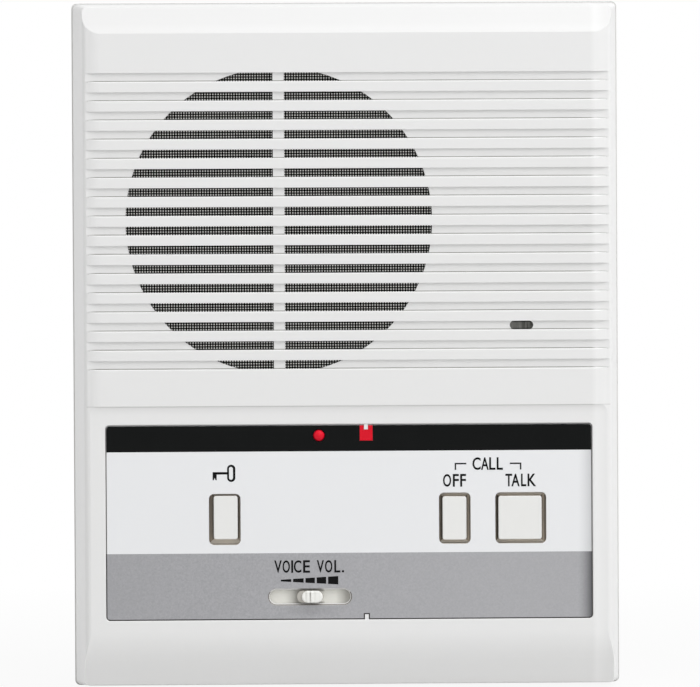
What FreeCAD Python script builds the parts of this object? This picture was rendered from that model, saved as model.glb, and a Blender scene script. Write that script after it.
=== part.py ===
import FreeCAD, Part
import math
import os

# Vintage intercom master station, in millimetres.
# X runs to the right, Z up, and the front faces -Y. The back of the case lies on Y = 0,
# and the origin is the centre of that back face.

Vector = FreeCAD.Vector

# ---------------------------------------------------------------- case outline
WIDTH = 140.0
DEPTH = 42.0
SIDE_DRAFT = 5.6
END_DRAFT = 4.0
WALL = 2.2
FACE_WALL = 2.4
CORNER_RADIUS = 1.3

# Bands of the front, from the top edge down. Together they make the height.
TOP_CHAMFER_BAND = 9.5
TOP_LAND = 9.82
LAND_BELOW_GROOVES = 9.27
LAND_ABOVE_PANEL = 4.95
PANEL_HEIGHT = 48.2
LAND_BELOW_PANEL = 6.85
BOTTOM_SLOPE_BAND = 12.5

# Relief of the front
TOP_CHAMFER_DEPTH = 2.55
TOP_EDGE_RADIUS = 0.5
SIDE_BEVEL_BAND = 7.03
SIDE_BEVEL_ANGLE = 16.0
SIDE_BEVEL_BLEND = 8.3
FLANK_EDGE_RADIUS = 1.6
STEP_DEPTH = 0.45
STEP_RISER = 0.2
STEP_FOOT_ANGLE = 14.6
STEP_FOOT_BLEND = 7.3
BOTTOM_SLOPE_ANGLE = 20.0
BOTTOM_SLOPE_BLEND = 21.0
BOTTOM_EDGE_RADIUS = 0.6

# Louvred grille
GRILLE_RADIUS = 38.25
GRILLE_LEFT_BAND = 52.8
GRILLE_BAR_WIDTH = 2.85
GROOVE_PITCH = 4.784
GROOVE_HEIGHT = 2.15
GROOVE_DEPTH = 0.7
GROOVE_LIP = 0.3

# Microphone behind the groove field
MICROPHONE_SLOT_WIDTH = 5.85
MICROPHONE_RIGHT_BAND = 26.75
MICROPHONE_GROOVE = 14
MICROPHONE_RADIUS = 4.85
MICROPHONE_LENGTH = 6.7
BOOT_WALL = 1.6
BOOT_SEAT_WALL = 1.2
MICROPHONE_CLOTH_THICKNESS = 0.4
MICROPHONE_CLOTH_GAP = 0.1
MICROPHONE_PORT_RADIUS = 1.0
MICROPHONE_PORT_DEPTH = 0.5
BOOT_COLLAR = 6.0
BOOT_SHOULDER = 2.0

# ---------------------------------------------------------------- control panel
PANEL_SIDE_BAND = 9.5
PANEL_THICKNESS = 0.8
PANEL_SINK = 0.2
PANEL_GAP = 0.3
PANEL_CORNER_RADIUS = 0.7
PANEL_FLOOR = 2.35
RECESS_CHAMFER = 0.2
KEY_TAB_X = 4.25
KEY_TAB_WIDTH = 0.96
KEY_TAB_HEIGHT = 1.0
KEY_TAB_GAP = 0.3

# Lamps, placed from the panel's top edge
CALL_LAMP_X = -7.5
CALL_LAMP_DROP = 2.45
CALL_LAMP_RADIUS = 1.48
CALL_LAMP_FLANGE = 0.45
CALL_LAMP_FLANGE_THICKNESS = 1.0
LAMP_HOLE_GAP = 0.1
WINDOW_X = 4.3
WINDOW_WIDTH = 3.22
WINDOW_HEIGHT = 3.78
WINDOW_GAP = 0.05
LIGHT_PIPE_WIDTH = 2.4
LIGHT_PIPE_HEIGHT = 2.0
LIGHT_PIPE_LENGTH = 2.8
POWER_LAMP_WIDTH = 5.0
POWER_LAMP_HEIGHT = 2.0
POWER_LAMP_AIR = 0.6

# Buttons, placed from the panel's top edge
DOOR_RELEASE_X = -31.1
OFF_X = 26.35
TALK_X = 42.85
BUTTON_DROP = 23.3
OPENING_HEIGHT = 12.78
OPENING_RADIUS = 1.3
NARROW_OPENING = 7.9
WIDE_OPENING = 12.75
CAP_GAP = 0.95
CAP_RADIUS = 0.6
CAP_SINK = 0.15
CAP_DISH = 0.25
LIP_OVERLAP = 1.1
LIP_GAP = 0.3
LIP_THICKNESS = 1.0
BUTTON_TRAVEL = 1.2
BUTTON_AIR = 0.7
SWITCH_SIDE = 8.0
SWITCH_HEIGHT = 4.0
PLUNGER_RADIUS = 1.75
PLUNGER_GAP = 0.1
PLUNGER_DEPTH = 1.4
SWITCH_FLOOR = 0.8
SWITCH_LEG_COLUMNS = 6.0
SWITCH_LEG_ROWS = 5.0

# Volume slide, placed from the panel's bottom edge
SLOT_X = -9.9
SLOT_RISE = 5.45
SLOT_LENGTH = 20.95
SLOT_HEIGHT = 4.2
SLOT_LIP = 0.4
SLOT_FLOOR = 0.6
KNOB_X = -9.85
KNOB_LENGTH = 6.6
KNOB_BASE_THICKNESS = 1.3
KNOB_GAP = 0.2
KNOB_GRIP_LENGTH = 5.25
KNOB_GRIP_SHIFT = 0.5
KNOB_PROUD = 0.85
KNOB_GROOVE_WIDTH = 0.35
KNOB_GROOVE_DEPTH = 0.45
KNOB_GROOVE_PITCH = 1.1
KNOB_GROOVE_LAND = 0.45
KNOB_SIDE_GROOVE_WIDTH = 0.5
KNOB_SIDE_GROOVE_DEPTH = 0.1
KNOB_EDGE_RADIUS = 0.4
KNOB_TRAVEL = 6.6
SHUTTER_THICKNESS = 0.6
SHUTTER_GAP = 0.25
SHUTTER_MARGIN = 1.0
LEVER_WIDTH = 3.0
LEVER_THICKNESS = 1.0
LEVER_GRIP = 1.6
LEVER_GAP = 0.1
POTENTIOMETER_AIR = 1.7
POTENTIOMETER_HEIGHT = 7.0
POTENTIOMETER_END = 5.0
POTENTIOMETER_FLOOR = 1.2
POTENTIOMETER_WALL = 1.2
POTENTIOMETER_TRACK = 3.8
POTENTIOMETER_LEG_INSET = 1.5
WIPER_LEG_OFFSET = (3.0, 2.0)
LEVER_SLOT_GAP = 0.4
LEVER_FOOT_OVERHANG = 1.0
LEVER_FOOT_HEIGHT = 3.2
LEVER_FOOT_GAP = 0.3

# ---------------------------------------------------------------- speaker
MESH_MARGIN = 0.4
MESH_THICKNESS = 0.4
SEAT_RING_GAP = 0.3
SEAT_RING_WALL = 1.6
GASKET_WIDTH = 4.0
GASKET_THICKNESS = 0.7
CONE_PAPER = 0.35
FRAME_SHEET = 0.8
FRAME_FLANGE = 4.6
FRAME_DEPTH = 11.2
FRAME_COLLAR = 2.6
FRAME_WINDOWS = 4
FRAME_WINDOW_ANGLE = 56.0
FRAME_WINDOW_INSET = 2.0
FRAME_WINDOW_SILL = 0.6
SURROUND_WIDTH = 3.6
SURROUND_ROLL = 1.2
SURROUND_LIP = 2.0
SPIDER_LEDGE = 1.0
SPIDER_LEDGE_WIDTH = 3.4
SPIDER_LEDGE_GAP = 0.5
SPIDER_WAVES = 4
SPIDER_WAVE_HEIGHT = 0.45
SPIDER_COLLAR = 1.0
SPIDER_EDGE_GAP = 0.4
SPIDER_SEAT_GAP = 0.3
PLATE_RADIUS = 16.0
PLATE_THICKNESS = 2.8
MAGNET_RADIUS = 17.5
MAGNET_BORE = 10.0
MAGNET_THICKNESS = 8.0
YOKE_THICKNESS = 2.8
POLE_RADIUS = 6.4
COIL_GAP = 0.4
COIL_WALL = 0.3
COIL_WINDING = 0.25
COIL_LENGTH = 7.2
COIL_RISE = 4.2
PLATE_BORE_GAP = 0.25
CAP_DOME = 1.9
CAP_RIM = 1.6
COIL_TAIL = 0.2
COIL_START = 4.4
POLE_SINK = 0.8
TERMINAL_STRIP_WIDTH = 14.0
TERMINAL_STRIP_HEIGHT = 7.4
TERMINAL_STRIP_THICKNESS = 1.2
TERMINAL_STRIP_INSET = 1.4
LUG_SPREAD = 3.5
LUG_WIDTH = 2.4
LUG_THICKNESS = 0.5
LUG_START = 2.0
LUG_PROUD = 1.6
SPEAKER_BOSS_RADIUS = 3.2
SPEAKER_BOSS_MEET = 0.4
CLAMP_WIDTH = 6.0
CLAMP_THICKNESS = 0.8
CLAMP_REACH = 2.4
SCREW_SHANK = 1.35
SCREW_HOLE_GAP = 0.05
SCREW_HEAD_RADIUS = 2.75
SCREW_HEAD_HEIGHT = 1.7
SCREW_LENGTH = 5.5
SPEAKER_SCREW_LENGTH = 3.2

# ---------------------------------------------------------------- main board and its parts
BOARD_THICKNESS = 1.6
BOARD_SIDE_BAND = 10.0
BOARD_TOP_BAND = 21.5
BOARD_BOTTOM_BAND = 11.0
BOARD_SPEAKER_GAP = 2.8
BOARD_BOSS_INSET = 3.5
BOARD_BOSS_RADIUS = 3.0
LEG = 0.6
LEG_HOLE = 1.0
LEG_PROUD = 0.8
BOARD_HOLE_GAP = 0.2

# Parts on the back of the board: centre x, centre z, then sizes
TRANSFORMER_PLACE = (-46.0, -48.0)
TRANSFORMER_CORE = (22.0, 8.0, 18.0)
TRANSFORMER_LIMB = 6.0
TRANSFORMER_WINDOW = (4.0, 12.0)
TRANSFORMER_COIL_HEIGHT = 15.4
TRANSFORMER_COIL_GAP = 0.15
CAPACITORS = ((-20.0, -28.0, 5.0, 16.0), (-34.0, -67.0, 4.0, 12.0),
              (17.0, -27.0, 5.0, 16.0), (17.0, -60.0, 3.2, 11.0))
CAPACITOR_NECK = 0.35
CAPACITOR_NECK_LEVELS = (1.6, 2.2)
CHIP_PLACES = ((-42.0, -24.0), (40.0, -64.0))
CHIP_SIZE = (19.3, 3.3, 6.35)
CHIP_LEGS = 8
CHIP_LEG_PITCH = 2.54
CHIP_ROW_SPACING = 7.62
CHIP_STANDOFF = 0.6
RELAY_PLACE = (38.0, -31.5)
RELAY_SIZE = (20.0, 15.0, 11.0)
RELAY_EDGE_RADIUS = 1.0
HEADER_PLACE = (46.0, -20.0)
HEADER_SIZE = (11.0, 6.0, 6.0)
HEAT_SINK_PLACE = (43.0, 52.5)
HEAT_SINK_SIZE = (26.0, 17.0, 12.0)
HEAT_SINK_BASE = 2.5
HEAT_SINK_FINS = 6
HEAT_SINK_FIN = 1.4
AMPLIFIER_SIZE = (20.0, 9.0, 3.4)
AMPLIFIER_LEGS = 7
AMPLIFIER_LIFT = 3.0
RESISTOR_COUNT = 6
RESISTOR_FIRST = (33.0, 8.0)
RESISTOR_PITCH = 5.0
RESISTOR_RADIUS = 1.2
RESISTOR_LENGTH = 6.3
RESISTOR_SPAN = 10.2
RESISTOR_LIFT = 0.3

# ---------------------------------------------------------------- rear case
REAR_PLATE = 2.6
REAR_SEAM = 0.3
REAR_EDGE_RADIUS = 0.6
SPIGOT_HEIGHT = 8.4
SPIGOT_WALL = 1.8
SPIGOT_GAP = 0.3
RIB_WIDTH = 1.4
RIB_HEIGHT = 2.0
WALL_SLOT_SPACING = 83.5
WALL_SLOT_LENGTH = 9.0
WALL_SLOT_WIDTH = 4.5
WALL_PAD = 3.0
CABLE_WINDOW_WIDTH = 40.0
CABLE_WINDOW_HEIGHT = 26.0
CABLE_WINDOW_DROP = 22.0
CABLE_WINDOW_RADIUS = 2.0
CABLE_WINDOW_COLLAR = 1.6
HOOK_SPREAD = 40.0
HOOK_WIDTH = 10.0
HOOK_GAP = 0.3
HOOK_SIDE_GAP = 1.0
HOOK_THICKNESS = 1.8
HOOK_LIP = 2.0
LEDGE_DEPTH = 14.0
LEDGE_THICKNESS = 2.0
LEDGE_HEIGHT = 2.4
CASE_SCREW_SPREAD = 42.0
CASE_SCREW_DEPTH = 8.0
CASE_SCREW_LENGTH = 10.0
CASE_SCREW_SINK = 0.3
DRIVE_SLOT = (3.6, 0.8, 0.7)
CASE_BOSS_SIZE = 9.0
CASE_BOSS_HEIGHT = 8.0

# Terminal block on the rear case
TERMINAL_BLOCK_TOP = 44.0
TERMINAL_POLES = 6
TERMINAL_PITCH = 7.6
TERMINAL_WIDTH = 14.0
TERMINAL_BASE = 6.0
TERMINAL_FIN = 1.2
TERMINAL_FIN_HEIGHT = 5.0
TERMINAL_SCREW_RADIUS = 2.6
TERMINAL_SCREW_HEAD = 1.8
TERMINAL_SCREW_SLOT = 0.8
TERMINAL_SCREW_TAIL = 2.0
TERMINAL_HOLE_FLOOR = 1.5
LEAD_COUNT = 4
LEAD_PITCH = 2.2
LEAD_RADIUS = 0.7
LEAD_BEND = 5.0
SPEAKER_LEAD_BEND = 2.6
SPEAKER_LEAD_RISE = 5.6
SPEAKER_LEAD_DROP = 6.0

# ---------------------------------------------------------------- levels worked out
GROOVE_COUNT = int((2 * GRILLE_RADIUS - GROOVE_HEIGHT) / GROOVE_PITCH) + 1
GROOVE_FIELD = (GROOVE_COUNT - 1) * GROOVE_PITCH + GROOVE_HEIGHT
HEIGHT = (TOP_CHAMFER_BAND + TOP_LAND + GROOVE_FIELD + LAND_BELOW_GROOVES
          + LAND_ABOVE_PANEL + PANEL_HEIGHT + LAND_BELOW_PANEL + BOTTOM_SLOPE_BAND)
HALF_WIDTH = WIDTH / 2
TOP_Z = HEIGHT / 2
BOTTOM_Z = -HEIGHT / 2
CHAMFER_Z = TOP_Z - TOP_CHAMFER_BAND
FIRST_GROOVE_Z = CHAMFER_Z - TOP_LAND
GRILLE_Z = FIRST_GROOVE_Z - GROOVE_FIELD / 2
GRILLE_X = -HALF_WIDTH + GRILLE_LEFT_BAND
STEP_Z = FIRST_GROOVE_Z - GROOVE_FIELD - LAND_BELOW_GROOVES
PANEL_TOP = STEP_Z - LAND_ABOVE_PANEL
PANEL_BOTTOM = PANEL_TOP - PANEL_HEIGHT
PANEL_Z = (PANEL_TOP + PANEL_BOTTOM) / 2
PANEL_WIDTH = WIDTH - 2 * PANEL_SIDE_BAND
BUTTON_Z = PANEL_TOP - BUTTON_DROP
LAMP_Z = PANEL_TOP - CALL_LAMP_DROP
SLOT_Z = PANEL_BOTTOM + SLOT_RISE
MICROPHONE_X = HALF_WIDTH - MICROPHONE_RIGHT_BAND
MICROPHONE_Z = FIRST_GROOVE_Z - (MICROPHONE_GROOVE - 1) * GROOVE_PITCH - GROOVE_HEIGHT / 2

# Depths along Y
FACE_Y = -DEPTH
FACE_BACK_Y = FACE_Y + FACE_WALL
LOWER_Y = FACE_Y + STEP_DEPTH
PANEL_Y = LOWER_Y + PANEL_SINK
SEAT_Y = PANEL_Y + PANEL_THICKNESS
FLOOR_BACK_Y = SEAT_Y + PANEL_FLOOR
SEAM_Y = -(REAR_PLATE + REAR_SEAM)
REAR_FLOOR_Y = -REAR_PLATE
LIP_Y = FLOOR_BACK_Y + LIP_GAP
BOARD_Y = LIP_Y + LIP_THICKNESS + BUTTON_TRAVEL + BUTTON_AIR + SWITCH_HEIGHT
BOARD_BACK_Y = BOARD_Y + BOARD_THICKNESS
SLOT_FLOOR_Y = SEAT_Y + SLOT_FLOOR
SHUTTER_Y = SLOT_FLOOR_Y + SHUTTER_GAP
MESH_BACK_Y = FACE_BACK_Y + MESH_THICKNESS
GASKET_BACK_Y = MESH_BACK_Y + GASKET_THICKNESS
FLANGE_Y = GASKET_BACK_Y + CONE_PAPER
FLANGE_BACK_Y = FLANGE_Y + FRAME_SHEET
FRAME_FLOOR_Y = FLANGE_Y + FRAME_DEPTH
FRAME_BACK_Y = FRAME_FLOOR_Y + FRAME_SHEET
PLATE_BACK_Y = FRAME_BACK_Y + PLATE_THICKNESS
MAGNET_BACK_Y = PLATE_BACK_Y + MAGNET_THICKNESS

# Radii of the speaker
FRAME_RADIUS = GRILLE_RADIUS
MESH_RADIUS = GRILLE_RADIUS + MESH_MARGIN
SEAT_RING_INNER = MESH_RADIUS + SEAT_RING_GAP
SEAT_RING_OUTER = SEAT_RING_INNER + SEAT_RING_WALL
FRAME_MOUTH = FRAME_RADIUS - FRAME_FLANGE
COIL_INNER = POLE_RADIUS + COIL_GAP
COIL_OUTER = COIL_INNER + COIL_WALL
PLATE_BORE = COIL_OUTER + COIL_WINDING + PLATE_BORE_GAP
CONE_RADIUS = FRAME_MOUTH - SURROUND_WIDTH
LEDGE_INNER = PLATE_RADIUS + SPIDER_LEDGE_GAP
LEDGE_OUTER = LEDGE_INNER + SPIDER_LEDGE_WIDTH
COIL_TOP_Y = FRAME_FLOOR_Y - COIL_RISE
SPEAKER_BOSS_REACH = SEAT_RING_OUTER + SPEAKER_BOSS_RADIUS - SPEAKER_BOSS_MEET

# Main board outline
BOARD_RIGHT = HALF_WIDTH - BOARD_SIDE_BAND
BOARD_TOP = TOP_Z - BOARD_TOP_BAND
BOARD_BOTTOM = BOTTOM_Z + BOARD_BOTTOM_BAND
BOARD_STRIP_TOP = GRILLE_Z - SEAT_RING_OUTER - BOARD_SPEAKER_GAP
BOARD_TOWER_LEFT = GRILLE_X + SEAT_RING_OUTER + BOARD_SPEAKER_GAP
BOARD_BOSSES = (
    (-BOARD_RIGHT + BOARD_BOSS_INSET, BOARD_BOTTOM + BOARD_BOSS_INSET),
    (BOARD_RIGHT - BOARD_BOSS_INSET, BOARD_BOTTOM + BOARD_BOSS_INSET),
    (-BOARD_RIGHT + BOARD_BOSS_INSET, BOARD_STRIP_TOP - BOARD_BOSS_INSET),
    (BOARD_RIGHT - BOARD_BOSS_INSET, BOARD_TOP - BOARD_BOSS_INSET),
    (BOARD_TOWER_LEFT + BOARD_BOSS_INSET, BOARD_TOP - BOARD_BOSS_INSET),
)

BUTTONS = {
    "door_release": (DOOR_RELEASE_X, NARROW_OPENING),
    "off": (OFF_X, NARROW_OPENING),
    "talk": (TALK_X, WIDE_OPENING),
}
CAP_HANG = {
    "door_release": (0.23, 0.45),
    "off": (-0.08, 0.0),
    "talk": (-0.18, 0.03),
}
LENGTH_TOLERANCE = 1e-6
OVERCUT = 1.0


# ---------------------------------------------------------------- shape helpers
def span(centre, size):
    """Low and high ends of a length laid out about its centre."""
    return (centre - size / 2, centre + size / 2)


def block(x, y, z):
    """Box between a low and a high value on each axis."""
    corner = Vector(x[0], y[0], z[0])
    return Part.makeBox(x[1] - x[0], y[1] - y[0], z[1] - z[0], corner)


def rod(x, z, radius, y_front, y_back):
    """Round bar along Y."""
    return Part.makeCylinder(radius, y_back - y_front, Vector(x, y_front, z), Vector(0, 1, 0))


def upright_rod(x, y, radius, z_low, z_high):
    """Round bar along Z."""
    return Part.makeCylinder(radius, z_high - z_low, Vector(x, y, z_low), Vector(0, 0, 1))


def ring(x, z, outer, inner, y_front, y_back):
    """Flat ring about an axis along Y."""
    return rod(x, z, outer, y_front, y_back).cut(rod(x, z, inner, y_front, y_back))


def joined_path(points, radii, closed=True):
    """Wire of straight runs with tangent arcs at the corners; radius 0 keeps one sharp."""
    count = len(points)
    edges = []
    arrivals = []
    departures = []
    for index, (corner, radius) in enumerate(zip(points, radii)):
        arrival = corner
        departure = corner
        if radius > 0:
            before = (points[index - 1] - corner).normalize()
            after = (points[(index + 1) % count] - corner).normalize()
            half = before.getAngle(after) / 2
            reach = radius / math.tan(half)
            arrival = corner + before * reach
            departure = corner + after * reach
            inward = (before + after).normalize()
            middle = corner + inward * (radius / math.sin(half) - radius)
            edges.append(Part.Arc(arrival, middle, departure).toShape())
        arrivals.append(arrival)
        departures.append(departure)
    for index in range(count if closed else count - 1):
        start = departures[index]
        end = arrivals[(index + 1) % count]
        if start.distanceToPoint(end) > LENGTH_TOLERANCE:
            edges.append(Part.LineSegment(start, end).toShape())
    return Part.Wire(Part.__sortEdges__(edges))


def rounded_outline(x, z, width, height, radius, y):
    """Rounded rectangle in a plane of constant Y; half the height as radius gives a stadium."""
    left, right = span(x, width)
    low, high = span(z, height)
    corners = [Vector(left, y, low), Vector(right, y, low), Vector(right, y, high), Vector(left, y, high)]
    return joined_path(corners, [radius] * 4)


def rounded_plate(x, z, width, height, radius, y_front, y_back):
    """Plate with rounded corners, flat to Y."""
    face = Part.Face(rounded_outline(x, z, width, height, radius, y_front))
    return face.extrude(Vector(0, y_back - y_front, 0))


def tapered_plate(x, z, front_size, back_size, radius, y_front, y_back):
    """Plate whose rounded outline changes from (width, height) in front to another behind."""
    shrink = (front_size[1] - back_size[1]) / 2
    front = rounded_outline(x, z, *front_size, radius, y_front)
    back = rounded_outline(x, z, *back_size, radius - shrink, y_back)
    return Part.makeLoft([front, back], True, True)


def turned(profile, x, z):
    """Ring turned about the axis along Y through x, z, from (radius, y) corners."""
    corners = [Vector(x + radius, y, z) for radius, y in profile]
    face = Part.Face(Part.makePolygon(corners + corners[:1]))
    return face.revolve(Vector(x, 0, z), Vector(0, 1, 0), 360)


def turned_bow(start, end, bulge, thickness, x, z):
    """Bowed sheet turned about the axis along Y, between two (radius, y) ends."""
    middle = ((start[0] + end[0]) / 2, (start[1] + end[1]) / 2 + bulge)
    front = [Vector(x + radius, y, z) for radius, y in (start, middle, end)]
    back = [point + Vector(0, thickness, 0) for point in front]
    edges = [
        Part.Arc(*front).toShape(),
        Part.LineSegment(front[2], back[2]).toShape(),
        Part.Arc(*back).toShape(),
        Part.LineSegment(back[0], front[0]).toShape(),
    ]
    face = Part.Face(Part.Wire(Part.__sortEdges__(edges)))
    return face.revolve(Vector(x, 0, z), Vector(0, 1, 0), 360)


def tube_along(points, radius, bend):
    """Round lead swept along straight runs joined by tangent bends."""
    radii = [0] + [bend] * (len(points) - 2) + [0]
    path = joined_path(points, radii, closed=False)
    section = Part.Wire(Part.Circle(points[0], points[1] - points[0], radius).toShape())
    return path.makePipeShell([section], True, True)


def fused(shapes):
    """One solid from several that touch or overlap."""
    first, *rest = shapes
    return first.fuse(rest).removeSplitter() if rest else first


def meet(point, direction, other_point, other_direction):
    """Crossing of two lines given as (depth, height) pairs."""
    cross = direction[0] * other_direction[1] - direction[1] * other_direction[0]
    gap = (other_point[0] - point[0], other_point[1] - point[1])
    along = (gap[0] * other_direction[1] - gap[1] * other_direction[0]) / cross
    return (point[0] + along * direction[0], point[1] + along * direction[1])


def screw(x, z, y_head, length):
    """Pan-head screw driven toward the front, with a cross recess."""
    head = rod(x, z, SCREW_HEAD_RADIUS, y_head, y_head + SCREW_HEAD_HEIGHT)
    shank = rod(x, z, SCREW_SHANK, y_head - length, y_head)
    recess_y = (y_head + SCREW_HEAD_HEIGHT / 2, y_head + SCREW_HEAD_HEIGHT + OVERCUT)
    wide = span(x, SCREW_HEAD_RADIUS)
    thin = span(x, SCREW_HEAD_RADIUS / 4)
    tall = span(z, SCREW_HEAD_RADIUS)
    flat = span(z, SCREW_HEAD_RADIUS / 4)
    cross = block(wide, recess_y, flat).fuse(block(thin, recess_y, tall))
    return head.fuse(shank).cut(cross)


def leg_row(places, y_front, y_back, side=LEG):
    """Square solder legs, or their holes, at the given places."""
    return [block(span(x, side), (y_front, y_back), span(z, side)) for x, z in places]


# ---------------------------------------------------------------- front cover
def flank_x(y, inset=0.0):
    """Half width of the drafted case at a depth."""
    return HALF_WIDTH - inset + y * math.tan(math.radians(SIDE_DRAFT))


def end_z(y, inset=0.0):
    """Half height of the drafted case at a depth."""
    return TOP_Z - inset + y * math.tan(math.radians(END_DRAFT))


def top_chamfer_line():
    """Start and direction of the sloping band along the top of the front."""
    upper_y = FACE_Y + TOP_CHAMFER_DEPTH
    start = (FACE_Y, CHAMFER_Z)
    return start, (upper_y - FACE_Y, end_z(upper_y) - CHAMFER_Z)


def bottom_slope_line():
    """Start and direction of the sloping band along the bottom of the front."""
    angle = math.radians(BOTTOM_SLOPE_ANGLE)
    return (LOWER_Y, BOTTOM_Z + BOTTOM_SLOPE_BAND), (math.sin(angle), -math.cos(angle))


def shifted(line, distance):
    """The same line moved into the case by a wall's thickness."""
    (y, z), (dy, dz) = line
    length = math.hypot(dy, dz)
    toward = 1 if dz > 0 else -1
    return (y + toward * dz / length * distance, z - toward * dy / length * distance), (dy, dz)


def cross_section():
    """Outline across the case: flat face, soft side bevels and drafted flanks."""
    bevel = math.radians(SIDE_BEVEL_ANGLE)
    bevel_x = HALF_WIDTH - SIDE_BEVEL_BAND
    flank = (flank_x(FACE_Y), FACE_Y), (math.tan(math.radians(SIDE_DRAFT)), 1)
    edge_x, edge_y = meet((bevel_x, FACE_Y), (math.cos(bevel), math.sin(bevel)), *flank)
    half = [(flank_x(SEAM_Y), SEAM_Y, 0), (edge_x, edge_y, FLANK_EDGE_RADIUS),
            (bevel_x, FACE_Y, SIDE_BEVEL_BLEND)]
    whole = half + [(-x, y, radius) for x, y, radius in reversed(half)]
    corners = [Vector(x, y, BOTTOM_Z) for x, y, _ in whole]
    return Part.Face(joined_path(corners, [radius for _, _, radius in whole]))


def long_section():
    """Outline along the case: top chamfer, face, step, lower face and bottom slope."""
    foot = math.radians(STEP_FOOT_ANGLE)
    foot_rise = STEP_DEPTH - STEP_RISER
    ends = math.tan(math.radians(END_DRAFT))
    bottom_edge = meet(*bottom_slope_line(), (SEAM_Y, -end_z(SEAM_Y)), (1, -ends))
    slope_start = bottom_slope_line()[0]
    outline = [
        (SEAM_Y, end_z(SEAM_Y), 0),
        (FACE_Y + TOP_CHAMFER_DEPTH, end_z(FACE_Y + TOP_CHAMFER_DEPTH), TOP_EDGE_RADIUS),
        (FACE_Y, CHAMFER_Z, 0),
        (FACE_Y, STEP_Z, 0),
        (FACE_Y + STEP_RISER, STEP_Z - STEP_RISER / 4, 0),
        (LOWER_Y, STEP_Z - STEP_RISER / 4 - foot_rise / math.tan(foot), STEP_FOOT_BLEND),
        (*slope_start, BOTTOM_SLOPE_BLEND),
        (*bottom_edge, BOTTOM_EDGE_RADIUS),
        (SEAM_Y, -end_z(SEAM_Y), 0),
    ]
    corners = [Vector(-HALF_WIDTH, y, z) for y, z, _ in outline]
    return Part.Face(joined_path(corners, [radius for _, _, radius in outline]))


def drafted_block():
    """Drafted box round the case, with its four long corners rounded."""
    depths = (SEAM_Y, FACE_Y)
    sides = [Vector(side * flank_x(y), y, BOTTOM_Z) for side in (1, -1) for y in depths[::side]]
    ends = [Vector(-HALF_WIDTH, y, side * end_z(y)) for side in (1, -1) for y in depths[::side]]
    across = Part.Face(Part.makePolygon(sides + sides[:1])).extrude(Vector(0, 0, HEIGHT))
    along = Part.Face(Part.makePolygon(ends + ends[:1])).extrude(Vector(WIDTH, 0, 0))
    form = across.common(along)
    corners = [edge for edge in form.Edges if edge.BoundBox.YLength > DEPTH / 2]
    return form.makeFillet(CORNER_RADIUS, corners)


def cover_block():
    """Outer form of the front cover as one solid."""
    across = cross_section().extrude(Vector(0, 0, HEIGHT))
    along = long_section().extrude(Vector(WIDTH, 0, 0))
    return across.common(along).common(drafted_block())


def cover_hollow():
    """Space inside the front cover, open at the back."""
    chamfer = shifted(top_chamfer_line(), WALL)
    slope = shifted(bottom_slope_line(), WALL)
    ends = math.tan(math.radians(END_DRAFT))
    upper = meet(*chamfer, (0, end_z(0, WALL)), (1, ends))
    upper_front = meet(*chamfer, (FACE_BACK_Y, 0), (0, 1))
    lower = meet(*slope, (0, -end_z(0, WALL)), (1, -ends))
    lower_front = meet(*slope, (FLOOR_BACK_Y, 0), (0, 1))
    step_z = STEP_Z + 2 * (FLOOR_BACK_Y - FACE_BACK_Y)
    outline = [
        (0, end_z(0, WALL)), upper, upper_front, (FACE_BACK_Y, step_z),
        (FLOOR_BACK_Y, step_z - (FLOOR_BACK_Y - FACE_BACK_Y)), lower_front, lower,
        (0, -end_z(0, WALL)),
    ]
    corners = [Vector(-HALF_WIDTH, y, z) for y, z in outline]
    along = Part.Face(Part.makePolygon(corners + corners[:1])).extrude(Vector(WIDTH, 0, 0))
    deep = FACE_Y - OVERCUT
    sides = [Vector(flank_x(0, WALL), 0, BOTTOM_Z), Vector(flank_x(deep, WALL), deep, BOTTOM_Z),
             Vector(-flank_x(deep, WALL), deep, BOTTOM_Z), Vector(-flank_x(0, WALL), 0, BOTTOM_Z)]
    across = Part.Face(Part.makePolygon(sides + sides[:1])).extrude(Vector(0, 0, HEIGHT))
    return across.common(along)


def groove_tops():
    """Height of the upper edge of each groove."""
    return [FIRST_GROOVE_Z - row * GROOVE_PITCH for row in range(GROOVE_COUNT)]


def groove(top):
    """One groove across the case, with a chamfered lip along its lower edge."""
    bottom = top - GROOVE_HEIGHT
    proud = FACE_Y - OVERCUT
    corners = [(proud, top), (FACE_Y + GROOVE_DEPTH, top), (FACE_Y + GROOVE_DEPTH, bottom),
               (FACE_Y + GROOVE_LIP, bottom), (proud, bottom - GROOVE_LIP - OVERCUT)]
    points = [Vector(-HALF_WIDTH, y, z) for y, z in corners]
    return Part.Face(Part.makePolygon(points + points[:1])).extrude(Vector(WIDTH, 0, 0))


def grille_cuts():
    """Shallow grooves across the face and the slots that open them over the speaker."""
    cuts = []
    disc = rod(GRILLE_X, GRILLE_Z, GRILLE_RADIUS, FACE_Y - OVERCUT, FACE_BACK_Y + OVERCUT)
    bar = block(span(GRILLE_X, GRILLE_BAR_WIDTH),
                (FACE_Y - 2 * OVERCUT, FACE_BACK_Y + 2 * OVERCUT), (BOTTOM_Z, TOP_Z))
    opening = disc.cut(bar)
    for top in groove_tops():
        rows = (top - GROOVE_HEIGHT, top)
        full = (-HALF_WIDTH, HALF_WIDTH)
        cuts.append(groove(top))
        through = block(full, (FACE_Y - OVERCUT, FACE_BACK_Y + OVERCUT), rows)
        cuts.append(through.common(opening))
    cuts.append(rounded_plate(MICROPHONE_X, MICROPHONE_Z, MICROPHONE_SLOT_WIDTH, GROOVE_HEIGHT,
                              GROOVE_HEIGHT / 2, FACE_Y, FACE_BACK_Y + OVERCUT))
    return cuts


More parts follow.
